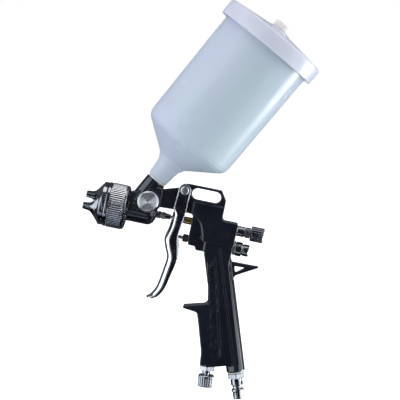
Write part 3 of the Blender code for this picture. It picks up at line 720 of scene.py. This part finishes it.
def body_cuts():
    """The openings of the casting that can be seen from outside."""
    slot = [(-12.4, 0.0, 4.95), (13.2, 0.0, 4.95), (13.2, -10.0, 4.95), (-12.4, -10.0, 4.95)]
    valve = [(0.0, 40.0), (5.4, 40.0), (5.4, 9.0), (3.0, 9.0), (3.0, -14.0), (0.0, -14.0)]
    needle = [(0.0, 40.0), (5.0, 40.0), (5.0, 10.0), (3.5, 10.0), (3.5, -14.0), (0.0, -14.0)]
    head = [(0.0, -30.0), (3.5, -30.0), (3.5, -63.1), (5.8, -63.1), (5.8, -80.0), (0.0, -80.0)]
    paint = [(0.0, 3.0), (6.5, 3.0), (6.5, -12.0), (3.1, -12.0), (3.1, -26.0), (0.0, -26.0)]
    screw = [(0.0, 20.0), (3.7, 20.0), (3.7, 9.0), (2.5, 9.0), (2.5, 6.0), (0.0, 6.0)]
    fan = [(0.0, 20.0), (3.5, 20.0), (3.5, 5.4), (0.0, 5.4)]
    regulator = [(0.0, 18.0), (2.7, 18.0), (4.9, 11.0), (4.9, -3.0), (0.0, -3.0)]
    inlet = [(0.0, 12.0), (4.9, 12.0), (4.9, -3.0), (0.0, -3.0)]
    return [
        plate("slot_cut", [rounded(slot, 8)], 15.0),
        drill("pivot_cut", (PIVOT[0], -9.0, PIVOT[2]), (PIVOT[0], 9.0, PIVOT[2]), 2.9),
        needle_guide("needle_cut", needle, 40),
        turned_guide("valve_cut", valve, 40, VALVE, ALONG_X),
        needle_guide("head_cut", head, 40),
        turned_guide("paint_cut", paint, 40, CUP_FOOT, ALONG_CUP),
        turned_guide("screw_cut", screw, 32, SIDE_SCREW, TO_NEAR_SIDE),
        turned_guide("fan_cut", fan, 32, FAN, TO_NEAR_SIDE),
        turned_guide("regulator_cut", regulator, 32, REGULATOR_FOOT, ALONG_REGULATOR),
        turned_guide("inlet_cut", inlet, 32, INLET_FOOT, ALONG_INLET),
        drill("lock_cut", (1.6, -14.0, -41.2), (1.6, -6.2, -41.2), 1.3, 24),
    ]


def step_up(value, start, end):
    """0 before start, 1 after end, smooth between."""
    share = np.clip((value - start) / (end - start), 0.0, 1.0)
    return share * share * (3 - 2 * share)


def places_of(mesh):
    """The places of a mesh's points, in millimetres."""
    places = np.empty(len(mesh.vertices) * 3)
    mesh.vertices.foreach_get("co", places)
    return places.reshape(-1, 3) / MM


def move_to(mesh, places):
    mesh.vertices.foreach_set("co", (places * MM).ravel())
    mesh.update()


def panel_depth(places):
    """How deep the grip's long panel is at each place, and less on the low ribs across it."""
    top, foot = np.array((15.2, -57.0)), np.array((35.4, -141.0))
    sunk, rib_height, rib_pitch = 0.75, 0.6, 3.2
    wall, rib_end, first_rib, rib_gap = 0.7, 0.6, 3.0, 1.1
    length = np.linalg.norm(foot - top)
    along_axis = (foot - top) / length
    side_axis = np.array((-along_axis[1], along_axis[0]))
    offset = places[:, [0, 2]] - top
    along = offset @ along_axis
    to_side = 3.6 + 1.6 * along / length - np.abs(offset @ side_axis)
    inside = step_up(to_side, 0.0, wall)
    inside *= step_up(along, 0.0, wall) * step_up(length - along, 0.0, wall)
    ribs = step_up(np.cos(TAU * along / rib_pitch), -0.2, 0.75)
    ribs *= step_up(to_side - rib_gap, 0.0, rib_end)
    for distance in (along, length - along):
        ribs *= step_up(distance, first_rib, first_rib + rib_end)
    return (sunk - rib_height * ribs) * inside


def mould_panel(mesh):
    """Sinks the panel into both flat sides of the grip."""
    places = places_of(mesh)
    normals = np.empty(len(mesh.vertices) * 3)
    mesh.vertex_normals.foreach_get("vector", normals)
    across = normals.reshape(-1, 3)[:, 1]
    flat = step_up(np.abs(across), 0.75, 0.95)
    places[:, 1] -= np.sign(across) * panel_depth(places) * flat
    move_to(mesh, places)


def make_body():
    barrel, head = head_shapes()
    grip, window = grip_shapes()
    change(barrel, "UNION", head + frame_shapes() + grip)
    change(barrel, "DIFFERENCE", body_cuts() + [window])
    mesh = cast(barrel, 0.5, 5, 170000)
    mould_panel(mesh)
    clear_guides()
    show(to_object("casting", mesh), ["gun_body"], "black_paint", crease=180.0)


make_body()


# ---------------------------------------------------------------- turned pieces


# Each piece by name: its axis, CAD finish, look, whether its profile is closed, what shapes its
# radius, how far its corners are eased, and its profile in radius and height
TURNED = {
    "fluid_nozzle": (
        NEEDLE, ALONG_X, "steel", "steel", True, None, 0.15,
        [(5.5, -64.6), (5.5, -75.8), (6.4, -75.8), (6.4, -78.5), (8.2, -78.8), (8.2, -81.4),
         (5.6, -82.6), (2.9, -87.4), (1.8, -88.0), (1.8, -90.6), (0.8, -90.6), (0.8, -90.2),
         (1.7, -84.8), (3.2, -79.0), (3.2, -64.6)],
    ),
    "fluid_needle": (
        NEEDLE, ALONG_X, "steel", "steel", False, None, 0.1,
        [(0.0, 17.0), (1.3, 17.0), (1.3, 10.1), (2.6, 10.1), (2.6, 6.3), (1.3, 6.3), (1.3, -85.0),
         (0.45, -90.4), (0.0, -91.0)],
    ),
    "needle_sleeve": (
        NEEDLE, ALONG_X, "brass", "brass", True, None, 0.15,
        [(3.2, 6.0), (3.2, -19.9), (3.0, -21.0), (2.45, -22.0), (1.6, -22.9), (1.6, 6.0)],
    ),
    "packing_nut": (
        NEEDLE, ALONG_X, "chrome", "dim_chrome", True, hexagon(5.6, -40.4, -35.3), 0.2,
        [(2.2, -26.6), (2.6, -31.4), (3.1, -31.8), (3.1, -34.0), (2.6, -34.2), (2.6, -35.2),
         (3.1, -35.5), (3.1, -40.3), (3.1, -40.6), (3.1, -43.3), (1.6, -43.3), (1.6, -26.6)],
    ),
    "knob_housing": (
        NEEDLE, ALONG_X, "chrome", "dim_chrome", True, None, 0.2,
        [(3.4, 50.0), (3.4, 39.4), (4.5, 39.4), (4.5, 32.9), (4.7, 32.6), (4.7, 25.2), (2.3, 25.2),
         (2.3, 50.0)],
    ),
    # The lock ring and the control knob take dark chrome, a painted dark reflection.
    "knob_lock_ring": (
        NEEDLE, ALONG_X, "dark_chrome", "dark_chrome", True, flutes(24, 0.3, 40.3, 43.7, 4.2), 0.2,
        [(4.6, 44.2), (4.6, 43.6), (4.6, 40.4), (4.6, 39.8), (3.7, 39.8), (3.7, 44.2)],
    ),
    "fluid_control_knob": (
        NEEDLE, ALONG_X, "chrome", "dark_chrome", False, flutes(16, 0.9, 45.4, 55.2, 5.0), 0.25,
        [(0.0, 55.6), (3.4, 55.7), (4.0, 56.0), (6.0, 56.0), (6.6, 55.3), (6.6, 54.8), (6.6, 46.0),
         (6.6, 45.3), (6.0, 44.6), (3.7, 44.6), (3.7, 50.9), (0.0, 50.9)],
    ),
    "air_valve_stem": (
        VALVE, ALONG_X, "steel", "steel", False, None, 0.12,
        [(0.0, 18.0), (1.5, 18.0), (1.5, 13.2), (4.5, 13.2), (4.5, 11.0), (1.5, 11.0), (1.5, -23.4),
         (1.3, -24.2), (0.8, -24.7), (0.0, -24.9)],
    ),
    "air_valve_gland": (
        VALVE, ALONG_X, "black_steel", "black_steel", True, hexagon(6.3, -12.3, -8.6), 0.2,
        [(2.7, -3.0), (2.7, -8.1), (3.4, -8.1), (3.4, -8.6), (3.4, -12.0), (3.1, -12.6), (1.8, -12.6),
         (1.8, -3.0)],
    ),
    "plug_washer": (
        VALVE, ALONG_X, "zinc", "zinc", True, None, 0.2,
        [(6.3, 34.0), (6.3, 32.6), (5.5, 32.6), (5.5, 34.0)],
    ),
    "air_valve_plug": (
        VALVE, ALONG_X, "chrome", "dim_chrome", False, hexagon(11.6, 34.6, 39.6), 0.2,
        [(0.0, 45.2), (1.6, 45.2), (2.0, 46.0), (4.6, 46.0), (5.2, 45.4), (5.2, 41.0), (4.6, 40.7),
         (4.6, 40.0), (5.8, 39.9), (6.2, 39.4), (6.2, 34.9), (5.8, 34.3), (5.1, 34.3), (5.1, 24.0),
         (4.3, 24.0), (4.3, 37.0), (0.0, 37.0)],
    ),
    "fan_bushing": (
        FAN, TO_NEAR_SIDE, "chrome", "chrome", True, hexagon(10.6, 12.0, 13.9), 0.2,
        [(3.9, 17.0), (3.9, 14.1), (5.8, 14.1), (5.8, 11.8), (3.2, 11.8), (3.2, 8.4), (2.6, 8.4),
         (2.6, 17.0)],
    ),
    "fan_control_knob": (
        FAN, TO_NEAR_SIDE, "chrome", "turned_chrome", False, flutes(40, 0.4, 16.4, 22.4, 8.6), 0.25,
        [(0.0, 23.2), (1.2, 23.3), (1.8, 23.7), (2.3, 23.5), (7.2, 23.5), (7.6, 24.0), (8.2, 23.7),
         (9.0, 22.9), (9.0, 22.4), (9.0, 16.6), (9.0, 16.0), (8.4, 15.0), (4.2, 15.0), (4.2, 20.7),
         (0.0, 20.7)],
    ),
    "regulator_knob": (
        REGULATOR_FOOT, ALONG_REGULATOR, "chrome", "dim_chrome", False,
        flutes(16, 0.9, -18.0, -9.4, 5.5), 0.25,
        [(0.0, -14.4), (2.6, -14.4), (2.6, -8.4), (6.3, -8.4), (7.1, -9.2), (7.1, -9.9), (7.1, -17.5),
         (7.1, -18.2), (6.3, -19.0), (0.0, -18.7)],
    ),
    "regulator_gland": (
        REGULATOR_FOOT, ALONG_REGULATOR, "chrome", "dim_chrome", True,
        hexagon(12.6, -4.3, -0.6, spin=TAU / 12), 0.2,
        [(4.6, 10.0), (4.6, -0.5), (6.5, -0.5), (7.1, -0.9), (7.1, -4.0), (6.5, -4.4), (4.0, -4.4),
         (4.0, -7.0), (2.6, -7.0), (2.6, 10.0)],
    ),
    "inlet_adapter": (
        INLET_FOOT, ALONG_INLET, "zinc", "zinc", True, hexagon(13.8, -5.9, -1.6, spin=TAU / 12), 0.2,
        [(4.6, 10.0), (4.6, -1.5), (7.2, -1.5), (7.8, -1.9), (7.8, -5.5), (7.2, -6.0), (3.3, -6.0),
         (3.3, 10.0)],
    ),
    "hose_plug": (
        INLET_FOOT, ALONG_INLET, "chrome", "dim_chrome", True, hexagon(10.0, -11.2, -6.6), 0.25,
        [(3.0, 3.0), (3.0, -6.3), (5.3, -6.3), (5.3, -6.8), (5.3, -11.0), (5.3, -11.6), (4.15, -12.6),
         (4.15, -14.6), (5.4, -15.6), (5.4, -17.2), (4.6, -18.0), (4.6, -23.4), (4.2, -24.2),
         (1.6, -24.2), (1.6, 3.0)],
    ),
    "inlet_washer": (
        INLET_FOOT, ALONG_INLET, "seal_plastic", "seal_plastic", True, None, 0.15,
        [(7.0, -0.3), (7.0, -1.2), (4.95, -1.2), (4.95, -0.3)],
    ),
    "cup_seal": (
        CUP_FOOT, ALONG_CUP, "seal_plastic", "seal_plastic", True, None, 0.15,
        [(8.8, 1.1), (8.8, 0.3), (6.7, 0.3), (6.7, 1.1)],
    ),
    "pivot_barrel": (
        PIVOT, TO_FAR_SIDE, "chrome", "chrome", False, None, 0.2,
        [(0.0, 8.7), (3.6, 8.7), (3.9, 8.3), (3.9, 7.4), (2.6, 7.4), (2.6, -6.9), (1.9, -6.9),
         (1.9, 5.0), (0.0, 5.0)],
    ),
}


def make_turned():
    for node_name, (at, turn, slot, look, closed, shape, ease, profile) in TURNED.items():
        steps = RIBBED_STEPS if shape else TURNED_STEPS
        obj = revolve(node_name + "_skin", profile, steps, closed, ease, shape)
        show(put(obj, at, turn), [node_name], slot, look)


make_turned()


# ---------------------------------------------------------------- air cap and its ring


def make_ring():
    """The ring: a plain collar and front band in dark chrome, a painted dark reflection, and a sleeve
    of straight ribs between them, with painted shade in the grooves.
    """
    profile = [
        (17.0, -65.0),
        (18.9, -66.0),
        (19.3, -67.0),
        (19.3, -67.5),
        (18.7, -67.7),
        (19.5, -68.0),
        *runs(-68.2, -80.4, 19.5, 2.0),
        (19.5, -80.6),
        (18.6, -80.9),
        (18.6, -81.2),
        (19.3, -81.4),
        (19.3, -83.3),
        (18.8, -84.0),
        (14.4, -84.0),
        (14.4, -81.5),
        (15.8, -81.5),
        (15.8, -65.0),
    ]
    ribs, points_per_rib, groove_radius = 60, 12, 19.28
    knurl = flutes(ribs, 0.7, -80.5, -68.1, 19.4)
    obj = revolve("ring_skin", profile, points_per_rib * ribs, True, 0.12, knurl)
    show(put(obj, NEEDLE, ALONG_X), ["air_cap_ring"], "chrome")
    # The plain collar and band take dark chrome, a painted dark reflection; the faces deep in the
    # grooves take near-black steel, painted shade between the ribs.
    obj.data.materials.append(LOOKS["dark_chrome"])
    obj.data.materials.append(LOOKS["black_steel"])
    plain, painted_groove_shade = 1, 2
    for face in obj.data.polygons:
        x, y, height = face.center / MM
        if not -80.8 < height < -67.8:
            face.material_index = plain
        elif math.hypot(x, y) < groove_radius:
            face.material_index = painted_groove_shade


def horn_pair(up):
    """The two horns with their jets, as one guide. up is the way from the needle to a horn."""
    profile = [
        (0.0, -87.5),
        (18.2, -87.5),
        (17.6, -88.7),
        (15.7, -90.4),
        (14.0, -92.2),
        (12.5, -96.0),
        (11.6, -102.6),
        (11.2, -103.05),
        (0.0, -103.05),
    ]
    horns = needle_guide("flare", profile, 128)
    taper = [(-80.0, 14.0), (-88.7, 13.4), (-90.4, 11.4), (-92.0, 8.8), (-94.0, 5.2), (-96.0, 3.1)]
    edge = smooth([*taper, (-98.5, 2.35), (-104.0, 2.25), (-110.0, 2.2)], 4)
    slab = plate("slab", [edge + [(x, -z) for x, z in reversed(edge)]], 25.0)
    turn = Matrix.Rotation(HORN_TURN + math.pi / 2, 4, "X")
    slab.matrix_world = Matrix.Translation(Vector(NEEDLE) * MM) @ turn
    gap = [(0.0, -80.0), (5.9, -80.0), (5.9, -91.0), (8.2, -110.0), (0.0, -110.0)]
    change(horns, "INTERSECT", [slab])
    change(horns, "DIFFERENCE", [needle_guide("between", gap)])
    for side in (1, -1):
        for back, radius in ((-99.8, 0.85), (-95.6, 0.7)):
            start = Vector(NEEDLE) + up * side * 13.5 + Vector((back - 2.0, 0.0, 0.0))
            end = Vector(NEEDLE) + up * side * 2.0 + Vector((back + 2.5, 0.0, 0.0))
            change(horns, "DIFFERENCE", [drill("jet", start, end, radius, 20)])
    return horns


def cap_face(up):
    """The cap's turned face, with its small air holes set across the way to the horns."""
    profile = [
        (14.0, -78.6),
        (14.0, -79.9),
        (13.1, -79.9),
        (13.1, -81.6),
        (14.0, -81.6),
        (14.0, -84.3),
        (18.4, -84.3),
        (18.9, -84.8),
        (18.9, -87.7),
        (18.2, -88.4),
        (11.0, -89.9),
        (5.6, -90.2),
        (2.5, -90.2),
        (2.5, -88.4),
        (9.6, -82.6),
        (12.0, -80.8),
        (12.0, -78.6),
    ]
    face = put(revolve("cap_skin", profile, 96, True, 0.2), NEEDLE, ALONG_X)
    across = Vector((0.0, -up.z, up.y))
    for side in (1, -1):
        for out in (4.3, 6.6):
            start = Vector(NEEDLE) + across * side * out + Vector((-93.0, 0.0, 0.0))
            end = start + Vector((9.0, 0.0, 0.0))
            change(face, "DIFFERENCE", [drill("air", start, end, 0.65, 16)])
    return face


def make_air_cap():
    up = Vector((0.0, -math.sin(HORN_TURN), math.cos(HORN_TURN)))
    horns = to_object("horns", cast(horn_pair(up), 0.2, 6, 110000))
    face = to_object("cap_face", baked(cap_face(up)))
    clear_guides()
    # The cap takes dark chrome, whose colour paints dark reflections.
    show(face, ["air_cap"], "dark_chrome")
    show(horns, ["air_cap"], "dark_chrome", crease=180.0)


make_ring()
make_air_cap()


# ---------------------------------------------------------------- trigger and its pivot


def trigger_outline():
    """The trigger's side in three runs: round its head, down its front and up its back."""
    radius, steps = 5.2, 24
    head = []
    for step in range(steps + 1):
        angle = math.radians(-10 + 200 * step / steps)
        head.append((PIVOT[0] + radius * math.cos(angle), PIVOT[2] + radius * math.sin(angle)))
    front = smooth(
        [
            (-25.4, -22.0),
            (-25.9, -36.5),
            (-28.1, -48.0),
            (-26.0, -55.8),
            (-22.8, -64.5),
            (-23.9, -75.5),
            (-26.4, -90.5),
            (-30.4, -98.4),
            (-33.8, -101.2),
        ]
    )
    back = smooth(
        [
            (-33.4, -102.4),
            (-27.2, -99.8),
            (-22.2, -92.6),
            (-17.2, -80.0),
            (-14.4, -70.0),
            (-13.6, -62.4),
            (-14.8, -54.5),
            (-16.6, -43.3),
            (-14.2, -22.4),
        ]
    )
    return head, front, back


def round_web(mesh, front):
    """Bends the web and the hook back towards both cheeks, round across the gun."""
    half_width, drop = 7.3, 5.6
    places = places_of(mesh)
    line = np.array(sorted(front, key=lambda p: p[1]))
    behind = places[:, 0] - np.interp(places[:, 2], line[:, 1], line[:, 0])
    share = 1.0 - step_up(behind, 1.5, 9.5)
    share *= step_up(-places[:, 2], 19.0, 27.0)
    fall = 1.0 - np.sqrt(np.clip(1.0 - (np.abs(places[:, 1]) / half_width) ** 2, 0.0, 1.0))
    places[:, 0] += drop * share * fall
    move_to(mesh, places)


def make_trigger():
    """A pressed trigger: two cheeks, a web that is round across the gun, and the hook below."""
    head, front, back = trigger_outline()
    guide = plate("trigger_guide", [head + front + back], 7.1, 0.6)
    inner = smooth(
        [(-23.4, -24.6), (-23.6, -36.5), (-25.6, -47.6), (-23.6, -56.4), (-20.4, -64.5), (-20.6, -74.0)]
    )
    channel = [(-40.0, 10.0), (-40.0, -24.6), *inner, (-17.0, -80.6), (0.0, -80.6), (0.0, 10.0)]
    cuts = [
        plate("channel", [channel], 4.9),
        block("needle_slot", (-40.0, -1.8, -33.6), (-15.0, 1.8, -20.0)),
        drill("pivot_hole", (PIVOT[0], -12.0, PIVOT[2]), (PIVOT[0], 12.0, PIVOT[2]), 2.9),
    ]
    change(guide, "DIFFERENCE", cuts)
    mesh = cast(guide, 0.32, 4, 120000)
    round_web(mesh, front)
    clear_guides()
    show(to_object("trigger_pressing", mesh), ["trigger"], "chrome", crease=180.0)


def inset(points, amount):
    """An open run of points moved sideways, to the left of the way it runs."""
    moved = []
    for index, here in enumerate(points):
        before = Vector(points[max(index - 1, 0)])
        after = Vector(points[min(index + 1, len(points) - 1)])
        way = (after - before).normalized()
        moved.append((here[0] - way.y * amount, here[1] + way.x * amount))
    return moved


def make_bead(side):
    """The rolled edge of one cheek: up its back, round its head and a little way down its front."""
    head, front, back = trigger_outline()
    run = inset(back[30:] + head + front[:1], 0.2)
    radius, from_middle = 0.5, 6.8
    curve = bpy.data.curves.new("bead", "CURVE")
    curve.dimensions = "3D"
    curve.bevel_depth = radius * MM
    curve.bevel_resolution = 3
    curve.use_fill_caps = True
    spline = curve.splines.new("POLY")
    spline.points.add(len(run) - 1)
    for point, (x, z) in zip(spline.points, run):
        point.co = (x * MM, side * from_middle * MM, z * MM, 1.0)
    draft = bpy.data.objects.new("bead", curve)
    GUIDES.objects.link(draft)
    name = "trigger_bead_far" if side > 0 else "trigger_bead_near"
    show(to_object(name, baked(draft)), ["trigger"], "chrome", crease=60.0)


def slotted(node_name, profile, at, turn, low, high, slot, look):
    """A screw head with a driver slot milled across it."""
    obj = put(revolve(node_name + "_skin", profile, 64, False, 0.2), at, turn)
    change(obj, "DIFFERENCE", [block("slot", low, high)])
    mesh = baked(obj)
    clear_guides()
    show(to_object(node_name + "_head", mesh), [node_name], slot, look, crease=30.0)


make_trigger()
make_bead(-1)
make_bead(1)
slotted(
    "pivot_screw",
    [(0.0, 8.8), (1.5, 8.72), (2.8, 8.4), (3.6, 7.9), (3.8, 7.4), (1.6, 7.4), (1.6, -3.0), (0.0, -3.0)],
    PIVOT,
    TO_NEAR_SIDE,
    (PIVOT[0] - 0.45, -10.0, PIVOT[2] - 5.0),
    (PIVOT[0] + 0.45, -8.0, PIVOT[2] + 5.0),
    "chrome",
    "turned_chrome",
)
slotted(
    "side_screw",
    [(0.0, 10.4), (2.7, 10.4), (3.3, 9.9), (3.3, 9.3), (2.2, 9.3), (2.2, 6.4), (0.0, 6.4)],
    SIDE_SCREW,
    TO_NEAR_SIDE,
    (-65.0, -12.0, -26.6),
    (-54.0, -9.8, -25.8),
    "black_steel",
    "black_steel",
)


# ---------------------------------------------------------------- paint cup


def cup_piece(node_name, piece, profile, steps, ease, slot, look, crease, shape=None):
    obj = revolve(piece, profile, steps, True, ease, shape)
    show(put(obj, CUP_FOOT, ALONG_CUP), [node_name], slot, look, crease)


def make_cup():
    """A moulded cup: a straight wall, a round shoulder, a cone and a spigot."""
    wall = 1.6
    outside = [
        (43.3, 161.4),
        (45.3, 160.8),
        (45.5, 151.0),
        (43.3, 149.0),
        (42.3, 52.0),
        (42.1, 46.5),
        (41.1, 43.0),
        (38.9, 40.2),
        (35.8, 37.9),
        (14.0, 22.4),
        (10.6, 16.5),
        (9.0, 1.4),
        (6.2, 1.4),
        (6.2, -10.6),
    ]
    inside = [
        (3.6, -10.6),
        (3.6, 2.0),
        (8.6, 17.5),
        (12.6, 24.2),
        (36.8, 41.2),
        (40.0, 44.4),
        (42.3 - wall, 47.4),
        (43.3 - wall, 161.4),
    ]
    plastic = "cup_plastic"
    cup_piece("paint_cup", "cup_skin", outside + inside, 160, 1.2, plastic, plastic, 60.0)


def make_lid():
    """The screw lid, a low cone with a rim, and the breather cap in its middle."""
    lid = [
        (5.2, 168.6),
        (9.6, 168.6),
        (9.9, 167.8),
        (20.0, 166.5),
        (40.0, 164.0),
        (47.2, 163.1),
        (48.8, 161.6),
        (48.8, 149.2),
        (48.3, 148.6),
        (46.4, 148.6),
        (46.4, 161.8),
        (8.0, 166.4),
        (5.2, 166.4),
    ]
    breather = [
        (1.0, 174.4),
        (4.6, 174.5),
        (5.2, 175.0),
        (7.2, 175.0),
        (8.0, 174.2),
        (8.0, 169.4),
        (7.6, 168.9),
        (4.9, 168.9),
        (4.9, 164.0),
        (1.0, 164.0),
    ]
    ribs = flutes(24, 0.35, 169.6, 174.0, 7.0)
    plastic = "lid_plastic"
    cup_piece("cup_lid", "lid_skin", lid, 160, 0.5, plastic, plastic, 50.0)
    cup_piece("breather_cap", "breather_skin", breather, 144, 0.3, plastic, "cap_plastic", 35.0, ribs)


make_cup()
make_lid()


# ---------------------------------------------------------------- pieces kept from the CAD model


def dress_nodes():
    """Finishes for the small inner pieces that show only when the gun is taken apart."""
    for node in frame["nodes"].values():
        if node.hide_render:
            continue
        for slot in node.material_slots:
            name = slot.material.name.split(".")[0]
            slot.material = LOOKS.get(name, LOOKS["steel"])
        node.data.shade_smooth()
        node.data.set_sharp_from_angle(angle=math.radians(35))


dress_nodes()


# ---------------------------------------------------------------- studio


ROLL = math.radians(11.6)
RIGHT = Vector((math.cos(ROLL), 0.0, math.sin(ROLL)))
UP = Vector((-math.sin(ROLL), 0.0, math.cos(ROLL)))
TOWARDS = Vector((0.0, -1.0, 0.0))
AIM = Vector((-0.00445, 0.0, -0.00989))
CAMERA_PLACE = RIGHT * 0.035 + UP * 0.08 + TOWARDS * 1.3
VIEW_WIDTH = 0.348


def make_floor():
    shape = bmesh.new()
    bmesh.ops.create_grid(shape, x_segments=8, y_segments=8, size=6.0)
    floor = to_object("floor", to_mesh(shape, "floor"))
    floor.location = (0.0, 0.0, CAD_BOX[0].z - 0.14)
    material, shader, nodes = new_material("floor")
    drift = nodes.spread(nodes.noise(3.0), 0.0, 1.0)
    nodes.join(nodes.between(drift, (0.9, 0.9, 0.9), (0.94, 0.94, 0.94)), shader.inputs["Base Color"])
    shader.inputs["Roughness"].default_value = 0.9
    shader.inputs["Emission Color"].default_value = (1.0, 1.0, 1.0, 1.0)
    shader.inputs["Emission Strength"].default_value = 0.8
    floor.data.materials.append(material)
    floor.visible_glossy = False
    floor.visible_diffuse = False


def room_background(nodes):
    """A dim room, black below and before the gun and grey above and behind it."""
    low, high, behind = (0.006, 0.007, 0.012), (0.14, 0.15, 0.18), (0.09, 0.1, 0.12)
    room = nodes.add("Background")
    place = nodes.add("TexCoord")
    parts = nodes.add("SeparateXYZ")
    nodes.join(place.outputs["Generated"], parts.inputs["Vector"])
    depth = nodes.spread(parts.outputs["Y"], 0.0, 1.0, 0.0, 0.8)
    height = nodes.spread(parts.outputs["Z"], 0.0, 1.0, 0.3, 0.95)
    near = nodes.between(height, low, high)
    nodes.join(nodes.between(depth, near, behind), room.inputs["Color"])
    return room


def white_background(nodes, path):
    """White, and dimmer as a light on matt surfaces."""
    light_on_matt = 0.6
    white = nodes.add("Background")
    white.inputs["Color"].default_value = (1.0, 1.0, 1.0, 1.0)
    dim = nodes.add("Math", operation="MULTIPLY_ADD")
    dim.inputs[1].default_value = light_on_matt - 1.0
    dim.inputs[2].default_value = 1.0
    nodes.join(path.outputs["Is Diffuse Ray"], dim.inputs[0])
    nodes.join(dim.outputs[0], white.inputs["Strength"])
    return white


def make_world():
    """White for what is seen directly or through plastic, and a dim room for reflections."""
    world = bpy.data.worlds.new("studio")
    bpy.context.scene.world = world
    world.use_nodes = True
    world.node_tree.nodes.clear()
    nodes = Nodes(world.node_tree)
    path = nodes.add("LightPath")
    mirror = nodes.add("Math", operation="SUBTRACT", use_clamp=True)
    nodes.join(path.outputs["Is Glossy Ray"], mirror.inputs[0])
    nodes.join(path.outputs["Is Transmission Ray"], mirror.inputs[1])
    mix = nodes.add("MixShader")
    nodes.join(mirror.outputs[0], mix.inputs["Fac"])
    nodes.join(white_background(nodes, path).outputs["Background"], mix.inputs[1])
    nodes.join(room_background(nodes).outputs["Background"], mix.inputs[2])
    out = nodes.add("OutputWorld")
    nodes.join(mix.outputs["Shader"], out.inputs["Surface"])


def face_back(obj, back, upward):
    """Turns a light or camera so that it looks away from back, with its top towards upward."""
    across = upward.cross(back).normalized()
    turn = Matrix((across, back.cross(across), back)).transposed()
    obj.rotation_mode = "QUATERNION"
    obj.rotation_quaternion = turn.to_quaternion()


def softbox(name, place, size, brightness, colour=(1.0, 1.0, 1.0), length=UP):
    """A soft light at a place given across, up and towards the camera, aimed at the gun.

    Its second side lies along length."""
    light = bpy.data.lights.new(name, "AREA")
    light.shape = "RECTANGLE"
    light.size, light.size_y = size
    light.energy = brightness * math.pi * size[0] * size[1]
    light.color = colour
    obj = bpy.data.objects.new(name, light)
    bpy.context.scene.collection.objects.link(obj)
    across, up, near = place
    offset = RIGHT * across + UP * up + TOWARDS * near
    face_back(obj, offset.normalized(), length)
    obj.location = AIM + offset
    obj.visible_camera = False


def make_lights():
    cup_axis = Vector((math.sin(ALONG_CUP[1]), 0.0, math.cos(ALONG_CUP[1])))
    cool = (0.84, 0.92, 1.0)
    softbox("left_box", (-0.97, 0.1, 0.4), (1.25, 1.5), 2.1, cool)
    softbox("front_strip", (-0.2, 0.0, 1.0), (0.08, 1.4), 0.9, cool)
    softbox("right_box", (1.0, 0.05, 0.35), (1.2, 1.5), 1.9, cool)
    softbox("top_box", (-0.1, 1.0, 0.12), (1.2, 0.6), 2.2, length=TOWARDS)
    softbox("low_fill", (-0.35, -0.8, 0.6), (0.8, 0.3), 0.9, (0.7, 0.8, 1.0), length=TOWARDS)
    softbox("rim_strip", (0.74, -0.61, -0.27), (0.16, 1.2), 5.0, length=cup_axis)
    softbox("cup_streak", (0.86, -0.46, -0.26), (0.46, 0.3), 24.0, length=cup_axis)


def make_camera():
    data = bpy.data.cameras.new("camera")
    data.sensor_width = 36.0
    data.lens = data.sensor_width * CAMERA_PLACE.length / VIEW_WIDTH
    camera = bpy.data.objects.new("camera", data)
    bpy.context.scene.collection.objects.link(camera)
    face_back(camera, CAMERA_PLACE.normalized(), UP)
    camera.location = AIM + CAMERA_PLACE
    bpy.context.scene.camera = camera


make_floor()
make_world()
make_lights()
make_camera()
bpy.context.scene.view_settings.view_transform = "Standard"
